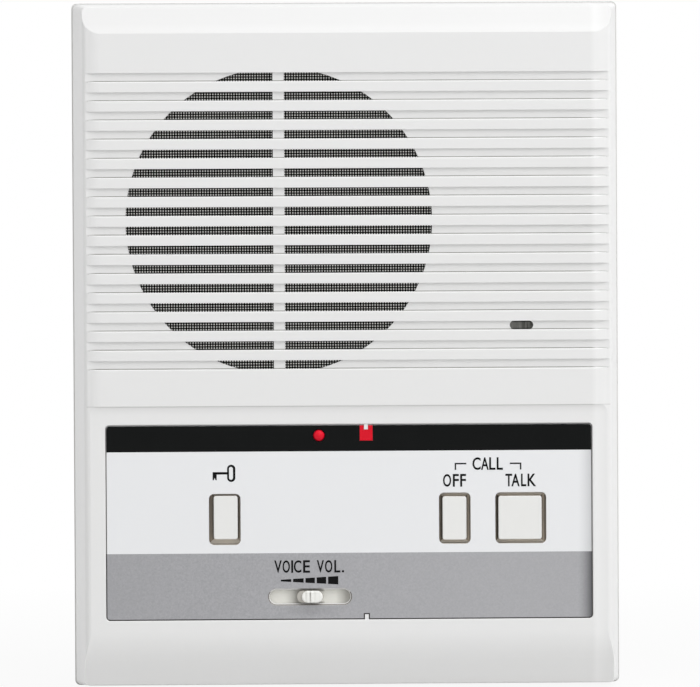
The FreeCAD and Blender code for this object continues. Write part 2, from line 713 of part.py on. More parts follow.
def key_tabs(gap):
    """Tabs that locate the panel at its top and bottom edge, or their notches."""
    wide = span(KEY_TAB_X, KEY_TAB_WIDTH + 2 * gap)
    reach = KEY_TAB_HEIGHT + gap
    deep = (PANEL_Y, SEAT_Y)
    upper = block(wide, deep, (PANEL_TOP - reach, PANEL_TOP + PANEL_GAP))
    lower = block(wide, deep, (PANEL_BOTTOM - PANEL_GAP, PANEL_BOTTOM + reach))
    return [upper, lower]


def panel_recess():
    """Pocket that takes the control panel, with its locating tabs left standing."""
    pocket = rounded_plate(0, PANEL_Z, PANEL_WIDTH + 2 * PANEL_GAP, PANEL_HEIGHT + 2 * PANEL_GAP,
                           PANEL_CORNER_RADIUS + PANEL_GAP, FACE_Y - OVERCUT, SEAT_Y)
    reach = RECESS_CHAMFER + OVERCUT
    inner = (PANEL_WIDTH + 2 * PANEL_GAP, PANEL_HEIGHT + 2 * PANEL_GAP)
    outer = (inner[0] + 2 * reach, inner[1] + 2 * reach)
    chamfer = tapered_plate(0, PANEL_Z, outer, inner, PANEL_CORNER_RADIUS + PANEL_GAP + reach,
                            LOWER_Y - OVERCUT, LOWER_Y + RECESS_CHAMFER)
    return pocket.fuse(chamfer).cut(key_tabs(0.0)[0]).cut(key_tabs(0.0)[1])


def shutter_size():
    """Length and height of the shutter that hides the slot at every knob place."""
    length = SLOT_LENGTH + 2 * KNOB_TRAVEL + 2 * SHUTTER_MARGIN
    return length, SLOT_HEIGHT + 2 * SHUTTER_MARGIN


def floor_cuts():
    """Openings in the floor of the panel recess."""
    cuts = []
    for x, width in BUTTONS.values():
        cuts.append(rounded_plate(x, BUTTON_Z, width, OPENING_HEIGHT, OPENING_RADIUS,
                                  SEAT_Y - OVERCUT, FLOOR_BACK_Y + OVERCUT))
    cuts.append(rod(CALL_LAMP_X, LAMP_Z, CALL_LAMP_RADIUS + LAMP_HOLE_GAP,
                    SEAT_Y - OVERCUT, FLOOR_BACK_Y + OVERCUT))
    cuts.append(block(span(WINDOW_X, LIGHT_PIPE_WIDTH + 2 * LAMP_HOLE_GAP),
                      (SEAT_Y - OVERCUT, FLOOR_BACK_Y + OVERCUT),
                      span(light_pipe_z(), LIGHT_PIPE_HEIGHT + 2 * LAMP_HOLE_GAP)))
    cuts.append(tapered_plate(SLOT_X, SLOT_Z, (SLOT_LENGTH, SLOT_HEIGHT),
                              (SLOT_LENGTH - 2 * SLOT_LIP, SLOT_HEIGHT - 2 * SLOT_LIP),
                              SLOT_HEIGHT / 2, SEAT_Y, SLOT_FLOOR_Y))
    length, height = shutter_size()
    cuts.append(block(span(SLOT_X, length + 2 * KNOB_TRAVEL + 2 * SHUTTER_GAP),
                      (SLOT_FLOOR_Y, FLOOR_BACK_Y + OVERCUT),
                      span(SLOT_Z, height + 2 * SHUTTER_GAP)))
    return cuts


def screw_hole(x, z, y_mouth, depth):
    """Pilot hole for a screw driven toward the front."""
    return rod(x, z, SCREW_SHANK + SCREW_HOLE_GAP, y_mouth - depth, y_mouth)


def speaker_bosses():
    """Places of the four speaker screws, on the diagonals of the speaker."""
    reach = SPEAKER_BOSS_REACH / math.sqrt(2)
    return [(GRILLE_X + side * reach, GRILLE_Z + end * reach) for side in (-1, 1) for end in (-1, 1)]


def cover_fittings():
    """Seat ring, bosses and ledges moulded on the inside of the cover."""
    fittings = [
        ring(GRILLE_X, GRILLE_Z, SEAT_RING_OUTER, SEAT_RING_INNER, FACE_BACK_Y, FLANGE_BACK_Y),
        ring(MICROPHONE_X, MICROPHONE_Z, boot_radius() + BOOT_SEAT_WALL, boot_radius(),
             FACE_BACK_Y, FACE_BACK_Y + MICROPHONE_LENGTH / 2),
    ]
    for x, z in speaker_bosses():
        fittings.append(rod(x, z, SPEAKER_BOSS_RADIUS, FACE_BACK_Y, FLANGE_BACK_Y))
    for x, z in BOARD_BOSSES:
        fittings.append(rod(x, z, BOARD_BOSS_RADIUS, FACE_BACK_Y, BOARD_Y))
    for side in (-1, 1):
        ledge_y = (-LEDGE_DEPTH - LEDGE_THICKNESS, -LEDGE_DEPTH)
        inner_z = end_z(-LEDGE_DEPTH, WALL)
        fittings.append(block(span(side * HOOK_SPREAD, HOOK_WIDTH), ledge_y,
                              (inner_z - LEDGE_HEIGHT, inner_z + WALL / 2)))
    return fittings


def case_screw_head_z():
    """Level of the case screws' heads, flush in the bottom wall."""
    return -end_z(-CASE_SCREW_DEPTH) + CASE_SCREW_SINK


def front_cover():
    cover = cover_block().cut(cover_hollow())
    cover = cover.cut([panel_recess()] + grille_cuts() + floor_cuts())
    cover = cover.fuse(cover_fittings())
    holes = [screw_hole(x, z, FLANGE_BACK_Y, SPEAKER_SCREW_LENGTH - CLAMP_THICKNESS / 2)
             for x, z in speaker_bosses()]
    holes += [screw_hole(x, z, BOARD_Y, SCREW_LENGTH) for x, z in BOARD_BOSSES]
    for side in (-1, 1):
        x = side * CASE_SCREW_SPREAD
        head = case_screw_head_z()
        holes.append(upright_rod(x, -CASE_SCREW_DEPTH, SCREW_SHANK + SCREW_HOLE_GAP,
                                 BOTTOM_Z, -end_z(-CASE_SCREW_DEPTH, 2 * WALL)))
        holes.append(Part.makeCone(SCREW_HEAD_RADIUS + SCREW_HOLE_GAP, SCREW_SHANK,
                                   SCREW_HEAD_RADIUS - SCREW_SHANK,
                                   Vector(x, -CASE_SCREW_DEPTH, head), Vector(0, 0, 1)))
        holes.append(upright_rod(x, -CASE_SCREW_DEPTH, SCREW_HEAD_RADIUS + SCREW_HOLE_GAP,
                                 BOTTOM_Z, head))
    return cover.cut(holes).removeSplitter()


# ---------------------------------------------------------------- panel, lamps and buttons
def control_panel():
    plate = rounded_plate(0, PANEL_Z, PANEL_WIDTH, PANEL_HEIGHT, PANEL_CORNER_RADIUS,
                          PANEL_Y, SEAT_Y)
    through = (PANEL_Y - OVERCUT, SEAT_Y + OVERCUT)
    cuts = [key_tabs(KEY_TAB_GAP)[1]]
    cuts.append(block(span(WINDOW_X, WINDOW_WIDTH + 2 * WINDOW_GAP), through,
                      (PANEL_TOP - WINDOW_HEIGHT - WINDOW_GAP, PANEL_TOP + OVERCUT)))
    cuts.append(rod(CALL_LAMP_X, LAMP_Z, CALL_LAMP_RADIUS + LAMP_HOLE_GAP, *through))
    for x, width in BUTTONS.values():
        cuts.append(rounded_plate(x, BUTTON_Z, width, OPENING_HEIGHT, OPENING_RADIUS, *through))
    cuts.append(rounded_plate(SLOT_X, SLOT_Z, SLOT_LENGTH, SLOT_HEIGHT, SLOT_HEIGHT / 2, *through))
    return plate.cut(cuts)


def light_pipe_z():
    """Height of the light pipe, low in the window and clear of the key tab."""
    return PANEL_TOP - WINDOW_HEIGHT + LIGHT_PIPE_HEIGHT / 2 + LAMP_HOLE_GAP


def power_lamp_window():
    pane = block(span(WINDOW_X, WINDOW_WIDTH), (PANEL_Y, SEAT_Y),
                 (PANEL_TOP - WINDOW_HEIGHT, PANEL_TOP))
    pipe = block(span(WINDOW_X, LIGHT_PIPE_WIDTH), (SEAT_Y, SEAT_Y + LIGHT_PIPE_LENGTH),
                 span(light_pipe_z(), LIGHT_PIPE_HEIGHT))
    return pane.cut(key_tabs(WINDOW_GAP)[0]).fuse(pipe).removeSplitter()


def power_lamp():
    front = SEAT_Y + LIGHT_PIPE_LENGTH + POWER_LAMP_AIR
    body = block(span(WINDOW_X, POWER_LAMP_WIDTH), (front, BOARD_Y),
                 span(light_pipe_z(), POWER_LAMP_HEIGHT))
    legs = leg_row(power_lamp_legs(), BOARD_Y, BOARD_BACK_Y + LEG_PROUD)
    return fused([body] + legs)


def power_lamp_legs():
    return [(x, light_pipe_z()) for x in span(WINDOW_X, CHIP_LEG_PITCH)]


def call_lamp_legs():
    return [(x, LAMP_Z) for x in span(CALL_LAMP_X, CHIP_LEG_PITCH)]


def call_lamp():
    """Round lamp: domed bulb, flange behind the recess floor, and legs down to the board."""
    radius = CALL_LAMP_RADIUS
    dome_y = PANEL_Y + radius / 2
    flange_front = FLOOR_BACK_Y
    flange_back = flange_front + CALL_LAMP_FLANGE_THICKNESS
    bulb = rod(CALL_LAMP_X, LAMP_Z, radius, dome_y, flange_back)
    sphere = Part.makeSphere(radius, Vector(CALL_LAMP_X, dome_y, LAMP_Z))
    flange = rod(CALL_LAMP_X, LAMP_Z, radius + CALL_LAMP_FLANGE, flange_front, flange_back)
    legs = leg_row(call_lamp_legs(), flange_back - OVERCUT / 4, BOARD_BACK_Y + LEG_PROUD, LEG / 2)
    return fused([bulb, sphere, flange] + legs)


def button_cap(name):
    """Button: a cap standing in the opening, on a lip that stops it behind the floor."""
    x, opening_width = BUTTONS[name]
    hang_x, hang_z = CAP_HANG[name]
    width = opening_width - 2 * CAP_GAP
    height = OPENING_HEIGHT - 2 * CAP_GAP
    front = PANEL_Y + CAP_SINK
    cap = rounded_plate(x + hang_x, BUTTON_Z + hang_z, width, height, CAP_RADIUS, front, LIP_Y)
    rim = [edge for edge in cap.Edges if edge.BoundBox.YMax < front + LENGTH_TOLERANCE]
    cap = cap.makeFillet(CAP_DISH, rim)
    lip = rounded_plate(x, BUTTON_Z, opening_width + 2 * LIP_OVERLAP,
                        OPENING_HEIGHT + 2 * LIP_OVERLAP, OPENING_RADIUS, LIP_Y,
                        LIP_Y + LIP_THICKNESS)
    return fused([cap, lip])


def plunger(x):
    """Switch plunger between the button's lip and the switch's contacts."""
    top = LIP_Y + LIP_THICKNESS
    return rod(x, BUTTON_Z, PLUNGER_RADIUS, top, BOARD_Y - SWITCH_HEIGHT + PLUNGER_DEPTH)


def switch_legs(x):
    columns = span(x, SWITCH_LEG_COLUMNS)
    rows = span(BUTTON_Z, SWITCH_LEG_ROWS)
    return [(leg_x, leg_z) for leg_x in columns for leg_z in rows]


def key_switch(x):
    """Switch body with a blind bore for its plunger."""
    top = BOARD_Y - SWITCH_HEIGHT
    body = block(span(x, SWITCH_SIDE), (top, BOARD_Y), span(BUTTON_Z, SWITCH_SIDE))
    bore = rod(x, BUTTON_Z, PLUNGER_RADIUS + PLUNGER_GAP, top - OVERCUT, BOARD_Y - SWITCH_FLOOR)
    legs = leg_row(switch_legs(x), BOARD_Y, BOARD_BACK_Y + LEG_PROUD)
    return fused([body.cut(bore)] + legs)


# ---------------------------------------------------------------- volume slide
def volume_shutter():
    length, height = shutter_size()
    plate = rounded_plate(KNOB_X, SLOT_Z, length, height, SHUTTER_MARGIN,
                          SHUTTER_Y, SHUTTER_Y + SHUTTER_THICKNESS)
    return plate.cut(lever_bar(LEVER_GAP, SHUTTER_Y - OVERCUT, SHUTTER_Y + 2 * OVERCUT))


def lever_bar(gap, y_front, y_back):
    return block(span(KNOB_X, LEVER_WIDTH + 2 * gap), (y_front, y_back),
                 span(SLOT_Z, LEVER_THICKNESS + 2 * gap))


def volume_knob():
    """Knob: stadium base, a rounded grip set a little to one side, and finger grooves."""
    base_height = SLOT_HEIGHT - 2 * SLOT_LIP - 2 * KNOB_GAP
    base_front = SHUTTER_Y - KNOB_BASE_THICKNESS
    top = PANEL_Y - KNOB_PROUD
    base = rounded_plate(KNOB_X, SLOT_Z, KNOB_LENGTH, base_height, base_height / 2,
                         base_front, SHUTTER_Y)
    grip = rounded_plate(KNOB_X + KNOB_GRIP_SHIFT, SLOT_Z, KNOB_GRIP_LENGTH, base_height,
                         base_height / 2, top, SHUTTER_Y - KNOB_BASE_THICKNESS / 2)
    rim = [edge for edge in grip.Edges if edge.BoundBox.YMax < top + LENGTH_TOLERANCE]
    grip = grip.makeFillet(KNOB_EDGE_RADIUS, rim)
    low, high = span(SLOT_Z, base_height - 2 * KNOB_GROOVE_LAND)
    cuts = []
    for step in (-1, 0, 1):
        groove_x = KNOB_X + step * KNOB_GROOVE_PITCH
        width = KNOB_SIDE_GROOVE_WIDTH if step else KNOB_GROOVE_WIDTH
        depth = KNOB_SIDE_GROOVE_DEPTH if step else KNOB_GROOVE_DEPTH
        cuts.append(block(span(groove_x, width), (top - OVERCUT, top + depth), (low, high)))
    cuts.append(lever_bar(LEVER_GAP / 2, SHUTTER_Y - LEVER_GRIP, SHUTTER_Y + OVERCUT))
    return fused([base, grip]).cut(cuts)


def potentiometer_front():
    """Front of the slide potentiometer's body."""
    return FLOOR_BACK_Y + POTENTIOMETER_AIR


def potentiometer_lever():
    """Lever from the potentiometer's wiper to the knob, with its foot inside the body."""
    foot_y = (potentiometer_front() + POTENTIOMETER_WALL + LEVER_FOOT_GAP,
              BOARD_Y - POTENTIOMETER_FLOOR - LEVER_FOOT_GAP)
    foot = block(span(KNOB_X, LEVER_WIDTH + 2 * LEVER_FOOT_OVERHANG), foot_y,
                 span(SLOT_Z, LEVER_FOOT_HEIGHT))
    return fused([lever_bar(0.0, SHUTTER_Y - LEVER_GRIP + LEVER_GAP, foot_y[1]), foot])


def potentiometer_legs():
    reach = potentiometer_length() / 2 - POTENTIOMETER_LEG_INSET
    wiper = (SLOT_X + reach - WIPER_LEG_OFFSET[0], SLOT_Z + WIPER_LEG_OFFSET[1])
    return [(SLOT_X - reach, SLOT_Z), (SLOT_X + reach, SLOT_Z), wiper]


def potentiometer_length():
    return 2 * (KNOB_TRAVEL + LEVER_FOOT_OVERHANG + POTENTIOMETER_END) + LEVER_WIDTH


def volume_potentiometer():
    """Slide potentiometer body: a box with a track inside and a slot along its front."""
    front = potentiometer_front()
    length = potentiometer_length()
    body = block(span(SLOT_X, length), (front, BOARD_Y), span(SLOT_Z, POTENTIOMETER_HEIGHT))
    track_y = (front + POTENTIOMETER_WALL, BOARD_Y - POTENTIOMETER_FLOOR)
    track = block(span(SLOT_X, length - POTENTIOMETER_END), track_y,
                  span(SLOT_Z, POTENTIOMETER_TRACK))
    slot = block(span(SLOT_X, length - POTENTIOMETER_END), (front - OVERCUT, track_y[1]),
                 span(SLOT_Z, LEVER_THICKNESS + 2 * LEVER_SLOT_GAP))
    legs = leg_row(potentiometer_legs(), BOARD_Y, BOARD_BACK_Y + LEG_PROUD)
    return fused([body.cut([track, slot])] + legs)


# ---------------------------------------------------------------- microphone
def boot_radius():
    return MICROPHONE_RADIUS + BOOT_WALL


def microphone_cloth():
    return rod(MICROPHONE_X, MICROPHONE_Z, boot_radius() - MICROPHONE_CLOTH_GAP, FACE_BACK_Y,
               FACE_BACK_Y + MICROPHONE_CLOTH_THICKNESS)


def microphone_front():
    return FACE_BACK_Y + MICROPHONE_CLOTH_THICKNESS + BOOT_WALL / 2


def microphone_boot():
    """Rubber cup with a sound hole in front and a collar behind."""
    front = FACE_BACK_Y + MICROPHONE_CLOTH_THICKNESS
    outer = rod(MICROPHONE_X, MICROPHONE_Z, boot_radius(), front,
                microphone_front() + BOOT_COLLAR)
    pocket = rod(MICROPHONE_X, MICROPHONE_Z, MICROPHONE_RADIUS, microphone_front(), 0)
    sound = rod(MICROPHONE_X, MICROPHONE_Z, MICROPHONE_RADIUS - BOOT_SHOULDER,
                front - OVERCUT, 0)
    return outer.cut([pocket, sound])


def microphone_legs():
    return [(x, MICROPHONE_Z) for x in span(MICROPHONE_X, CHIP_LEG_PITCH)]


def microphone_capsule():
    back = microphone_front() + MICROPHONE_LENGTH
    can = rod(MICROPHONE_X, MICROPHONE_Z, MICROPHONE_RADIUS, microphone_front(), back)
    port = rod(MICROPHONE_X, MICROPHONE_Z, MICROPHONE_PORT_RADIUS,
               microphone_front() - OVERCUT, microphone_front() + MICROPHONE_PORT_DEPTH)
    legs = leg_row(microphone_legs(), back - OVERCUT / 2, BOARD_BACK_Y + LEG_PROUD)
    return fused([can.cut(port)] + legs)


# ---------------------------------------------------------------- speaker pieces
def speaker_mesh():
    return rod(GRILLE_X, GRILLE_Z, MESH_RADIUS, FACE_BACK_Y, MESH_BACK_Y)


def speaker_gasket():
    return ring(GRILLE_X, GRILLE_Z, FRAME_RADIUS, FRAME_RADIUS - GASKET_WIDTH, MESH_BACK_Y,
                GASKET_BACK_Y)


def speaker_frame():
    """Pressed basket: flange, collar, four arms round open windows, ledge and floor."""
    ledge_y = FRAME_FLOOR_Y - SPIDER_LEDGE
    collar_y = FLANGE_Y + FRAME_COLLAR
    basket = turned([
        (FRAME_MOUTH, collar_y), (FRAME_MOUTH, FLANGE_Y), (FRAME_RADIUS, FLANGE_Y),
        (FRAME_RADIUS, FLANGE_BACK_Y), (FRAME_MOUTH + FRAME_SHEET, FLANGE_BACK_Y),
        (FRAME_MOUTH + FRAME_SHEET, collar_y), (LEDGE_OUTER + FRAME_SHEET, FRAME_BACK_Y),
        (PLATE_BORE + OVERCUT, FRAME_BACK_Y), (PLATE_BORE + OVERCUT, FRAME_FLOOR_Y),
        (LEDGE_INNER, FRAME_FLOOR_Y), (LEDGE_INNER, ledge_y), (LEDGE_OUTER, ledge_y),
    ], GRILLE_X, GRILLE_Z)
    windows = []
    for index in range(FRAME_WINDOWS):
        wedge = turned_wedge(LEDGE_OUTER + FRAME_WINDOW_INSET, FRAME_RADIUS, collar_y,
                             ledge_y - FRAME_WINDOW_SILL, FRAME_WINDOW_ANGLE)
        centre = index * 360 / FRAME_WINDOWS - FRAME_WINDOW_ANGLE / 2
        wedge.rotate(Vector(GRILLE_X, 0, GRILLE_Z), Vector(0, 1, 0), centre)
        windows.append(wedge)
    return basket.cut(windows)


def turned_wedge(inner, outer, y_front, y_back, angle):
    """Sector of a ring about the speaker's axis."""
    corners = [Vector(GRILLE_X + radius, y, GRILLE_Z)
               for radius, y in ((inner, y_front), (outer, y_front), (outer, y_back), (inner, y_back))]
    face = Part.Face(Part.makePolygon(corners + corners[:1]))
    return face.revolve(Vector(GRILLE_X, 0, GRILLE_Z), Vector(0, 1, 0), angle)


def speaker_surround():
    """Rolled edge of the cone, with a lip clamped between flange and gasket."""
    roll = turned_bow((CONE_RADIUS, GASKET_BACK_Y), (FRAME_MOUTH, GASKET_BACK_Y), SURROUND_ROLL,
                      CONE_PAPER, GRILLE_X, GRILLE_Z)
    lip = ring(GRILLE_X, GRILLE_Z, FRAME_MOUTH + SURROUND_LIP, FRAME_MOUTH, GASKET_BACK_Y, FLANGE_Y)
    return fused([roll, lip])


def speaker_cone():
    """Paper cone from the voice coil out to the surround."""
    return turned([
        (COIL_OUTER, COIL_TOP_Y), (COIL_OUTER, COIL_TOP_Y + CONE_PAPER),
        (CONE_RADIUS, GASKET_BACK_Y + CONE_PAPER), (CONE_RADIUS, GASKET_BACK_Y),
    ], GRILLE_X, GRILLE_Z)


def speaker_dust_cap():
    """Domed cap over the coil, glued at its edge to the front of the cone."""
    radius = COIL_OUTER + CAP_RIM
    slope = (COIL_TOP_Y - GASKET_BACK_Y) / (CONE_RADIUS - COIL_OUTER)
    edge_y = COIL_TOP_Y - CONE_PAPER - slope * CAP_RIM
    middle_y = edge_y - CAP_DOME
    front = [Vector(GRILLE_X - radius, edge_y, GRILLE_Z), Vector(GRILLE_X, middle_y, GRILLE_Z),
             Vector(GRILLE_X + radius, edge_y, GRILLE_Z)]
    centre_y = (radius ** 2 - CAP_DOME ** 2) / (2 * CAP_DOME) + edge_y
    dome_radius = front[1].distanceToPoint(Vector(GRILLE_X, centre_y, GRILLE_Z))
    centre = Vector(GRILLE_X, centre_y, GRILLE_Z)
    shell = Part.makeSphere(dome_radius, centre).cut(Part.makeSphere(dome_radius - CONE_PAPER, centre))
    return shell.common(rod(GRILLE_X, GRILLE_Z, radius, middle_y - OVERCUT, edge_y))


def speaker_voice_coil():
    """Coil former with its winding in the magnet gap."""
    former = ring(GRILLE_X, GRILLE_Z, COIL_OUTER, COIL_INNER, COIL_TOP_Y, COIL_TOP_Y + COIL_LENGTH)
    winding = ring(GRILLE_X, GRILLE_Z, COIL_OUTER + COIL_WINDING, COIL_OUTER,
                   COIL_TOP_Y + COIL_START, COIL_TOP_Y + COIL_LENGTH - COIL_TAIL)
    return fused([former, winding])


def speaker_spider():
    """Corrugated damper from the coil out to the basket's ledge."""
    seat_y = FRAME_FLOOR_Y - SPIDER_LEDGE - CONE_PAPER
    wave_start = COIL_OUTER + SPIDER_COLLAR
    wave_end = LEDGE_INNER - SPIDER_EDGE_GAP
    step = (wave_end - wave_start) / (2 * SPIDER_WAVES)
    front = [(COIL_OUTER, seat_y), (wave_start, seat_y)]
    for index in range(1, 2 * SPIDER_WAVES):
        crest = -SPIDER_WAVE_HEIGHT if index % 2 else 0
        front.append((wave_start + index * step, seat_y + crest))
    front += [(wave_end, seat_y), (LEDGE_OUTER - SPIDER_SEAT_GAP, seat_y)]
    back = [(radius, y + CONE_PAPER) for radius, y in reversed(front)]
    return turned(front + back, GRILLE_X, GRILLE_Z)


def speaker_top_plate():
    return ring(GRILLE_X, GRILLE_Z, PLATE_RADIUS, PLATE_BORE, FRAME_BACK_Y, PLATE_BACK_Y)


def speaker_magnet():
    return ring(GRILLE_X, GRILLE_Z, MAGNET_RADIUS, MAGNET_BORE, PLATE_BACK_Y, MAGNET_BACK_Y)


def speaker_yoke():
    """Back plate with its pole standing in the coil."""
    disc = rod(GRILLE_X, GRILLE_Z, PLATE_RADIUS, MAGNET_BACK_Y, MAGNET_BACK_Y + YOKE_THICKNESS)
    pole = rod(GRILLE_X, GRILLE_Z, POLE_RADIUS, FRAME_BACK_Y - POLE_SINK, MAGNET_BACK_Y)
    return fused([disc, pole])


def strip_z():
    """Height of the terminal strip, standing on the lower edge of the flange."""
    return GRILLE_Z - FRAME_RADIUS + TERMINAL_STRIP_THICKNESS / 2 + TERMINAL_STRIP_INSET


def speaker_terminal_strip():
    return block(span(GRILLE_X, TERMINAL_STRIP_WIDTH),
                 (FLANGE_BACK_Y, FLANGE_BACK_Y + TERMINAL_STRIP_HEIGHT),
                 span(strip_z(), TERMINAL_STRIP_THICKNESS))


def lug_places():
    return span(GRILLE_X, 2 * LUG_SPREAD)


def lug_z():
    return strip_z() - TERMINAL_STRIP_THICKNESS / 2 - LUG_THICKNESS / 2


def speaker_lugs():
    lugs = []
    for x in lug_places():
        lugs.append(block(span(x, LUG_WIDTH), (FLANGE_BACK_Y + LUG_START, lug_back()),
                          span(lug_z(), LUG_THICKNESS)))
    return Part.makeCompound(lugs)


def lug_back():
    return FLANGE_BACK_Y + TERMINAL_STRIP_HEIGHT + LUG_PROUD


def speaker_leads():
    """Two leads from the lugs, over the edge of the board and down on its back."""
    leads = []
    end_z_level = BOARD_STRIP_TOP - SPEAKER_LEAD_DROP
    for x in lug_places():
        high_y = max(lug_back(), BOARD_BACK_Y) + SPEAKER_LEAD_RISE
        route = [Vector(x, lug_back(), lug_z()), Vector(x, high_y, lug_z()),
                 Vector(x, high_y, end_z_level), Vector(x, BOARD_BACK_Y, end_z_level)]
        leads.append(tube_along(route, LEAD_RADIUS, SPEAKER_LEAD_BEND))
    return Part.makeCompound(leads)


def speaker_clamps():
    """Small plates that bridge from each boss on to the flange."""
    clamps = []
    for x, z in speaker_bosses():
        plate = block(span(SPEAKER_BOSS_REACH - CLAMP_REACH, CLAMP_WIDTH + CLAMP_REACH),
                      (FLANGE_BACK_Y, FLANGE_BACK_Y + CLAMP_THICKNESS), span(0, CLAMP_WIDTH))
        plate.rotate(Vector(0, 0, 0), Vector(0, 1, 0),
                     -math.degrees(math.atan2(z - GRILLE_Z, x - GRILLE_X)))
        plate.translate(Vector(GRILLE_X, 0, GRILLE_Z))
        hole = rod(x, z, SCREW_SHANK + SCREW_HOLE_GAP, FLANGE_BACK_Y - OVERCUT,
                   FLANGE_BACK_Y + CLAMP_THICKNESS + OVERCUT)
        clamps.append(plate.cut(hole))
    return Part.makeCompound(clamps)


def speaker_screws():
    head_y = FLANGE_BACK_Y + CLAMP_THICKNESS
    return Part.makeCompound([screw(x, z, head_y, SPEAKER_SCREW_LENGTH)
                              for x, z in speaker_bosses()])


# ---------------------------------------------------------------- main board and its parts
def board_leg_places():
    """Every place where a leg passes through the board."""
    places = power_lamp_legs() + call_lamp_legs() + potentiometer_legs() + microphone_legs()
    for x, _ in BUTTONS.values():
        places += switch_legs(x)
    return places


def main_board():
    """L-shaped board: a strip behind the panel and a tower beside the speaker."""
    depth = (BOARD_Y, BOARD_BACK_Y)
    strip = block((-BOARD_RIGHT, BOARD_RIGHT), depth, (BOARD_BOTTOM, BOARD_STRIP_TOP))
    tower = block((BOARD_TOWER_LEFT, BOARD_RIGHT), depth, (BOARD_STRIP_TOP - OVERCUT, BOARD_TOP))
    holes = [rod(x, z, SCREW_SHANK + BOARD_HOLE_GAP, BOARD_Y - OVERCUT, BOARD_BACK_Y + OVERCUT)
             for x, z in BOARD_BOSSES]
    holes += leg_row(board_leg_places(), BOARD_Y - OVERCUT, BOARD_BACK_Y + OVERCUT, LEG_HOLE)
    return fused([strip, tower]).cut(holes)


def board_screws():
    return Part.makeCompound([screw(x, z, BOARD_BACK_Y, SCREW_LENGTH) for x, z in BOARD_BOSSES])


def on_board(place, size):
    """Block on the back of the board, of (width, height off the board, length)."""
    return block(span(place[0], size[0]), (BOARD_BACK_Y, BOARD_BACK_Y + size[1]),
                 span(place[1], size[2]))


def transformer_levels():
    """Front and back of the core, held clear of the board by the coil's bobbin."""
    middle = BOARD_BACK_Y + TRANSFORMER_COIL_HEIGHT / 2
    return span(middle, TRANSFORMER_CORE[1])


def transformer_core():
    """Laminated core with two windows beside its middle limb."""
    x, z = TRANSFORMER_PLACE
    core = block(span(x, TRANSFORMER_CORE[0]), transformer_levels(), span(z, TRANSFORMER_CORE[2]))
    offset = (TRANSFORMER_LIMB + TRANSFORMER_WINDOW[0]) / 2
    windows = [block(span(x + side * offset, TRANSFORMER_WINDOW[0]), (BOARD_BACK_Y, 0),
                     span(z, TRANSFORMER_WINDOW[1])) for side in (-1, 1)]
    return core.cut(windows)


def transformer_coil():
    """Coil wound round the middle limb, through both windows."""
    x, z = TRANSFORMER_PLACE
    gap = TRANSFORMER_COIL_GAP
    width = TRANSFORMER_LIMB + 2 * TRANSFORMER_WINDOW[0] - 2 * gap
    body = block(span(x, width), (BOARD_BACK_Y, BOARD_BACK_Y + TRANSFORMER_COIL_HEIGHT),
                 span(z, TRANSFORMER_WINDOW[1] - 2 * gap))
    front, back = transformer_levels()
    limb = block(span(x, TRANSFORMER_LIMB + 2 * gap), (front - gap, back + gap),
                 span(z, TRANSFORMER_CORE[2]))
    return body.cut(limb)


def capacitors():
    cans = []
    for x, z, radius, height in CAPACITORS:
        can = rod(x, z, radius, BOARD_BACK_Y, BOARD_BACK_Y + height)
        levels = [BOARD_BACK_Y + level for level in CAPACITOR_NECK_LEVELS]
        neck = ring(x, z, radius + OVERCUT, radius - CAPACITOR_NECK, *levels)
        cans.append(can.cut(neck))
    return Part.makeCompound(cans)


def logic_chips():
    """Two dual-row chips with their legs on the board."""
    chips = []
    for x, z in CHIP_PLACES:
        body = block(span(x, CHIP_SIZE[0]), (BOARD_BACK_Y + CHIP_STANDOFF,
                     BOARD_BACK_Y + CHIP_STANDOFF + CHIP_SIZE[1]), span(z, CHIP_SIZE[2]))
        pieces = [body]
        shoulder_y = BOARD_BACK_Y + CHIP_STANDOFF + CHIP_SIZE[1] / 2
        for index in range(CHIP_LEGS):
            leg_x = x + (index - (CHIP_LEGS - 1) / 2) * CHIP_LEG_PITCH
            pieces.append(block(span(leg_x, LEG), span(shoulder_y, LEG / 2),
                                span(z, CHIP_ROW_SPACING + LEG / 2)))
            for leg_z in span(z, CHIP_ROW_SPACING):
                pieces.append(block(span(leg_x, LEG), (BOARD_BACK_Y, shoulder_y),
                                    span(leg_z, LEG / 2)))
        chips.append(fused(pieces))
    return Part.makeCompound(chips)


def door_relay():
    box = on_board(RELAY_PLACE, RELAY_SIZE)
    uprights = [edge for edge in box.Edges if edge.BoundBox.YLength > RELAY_SIZE[1] / 2]
    return box.makeFillet(RELAY_EDGE_RADIUS, uprights)


def board_header():
    body = on_board(HEADER_PLACE, HEADER_SIZE)
    key = block(span(HEADER_PLACE[0], HEADER_SIZE[0] / 3),
                (BOARD_BACK_Y + HEADER_SIZE[1] / 2, BOARD_BACK_Y + HEADER_SIZE[1]),
                (HEADER_PLACE[1] - HEADER_SIZE[2] / 2, HEADER_PLACE[1] - HEADER_SIZE[2] / 3))
    return body.cut(key)


def heat_sink():
    """Extruded heat sink: an upright back with fins, standing on the board."""
    x, z = HEAT_SINK_PLACE
    width, height, length = HEAT_SINK_SIZE
    depth = (BOARD_BACK_Y, BOARD_BACK_Y + height)
    low, high = span(z, length)
    pieces = [block(span(x, width), depth, (low, low + HEAT_SINK_BASE))]
    pitch = (width - HEAT_SINK_FIN) / (HEAT_SINK_FINS - 1)
    for index in range(HEAT_SINK_FINS):
        fin_x = x - (width - HEAT_SINK_FIN) / 2 + index * pitch
        pieces.append(block(span(fin_x, HEAT_SINK_FIN), depth, (low, high)))
    return fused(pieces)


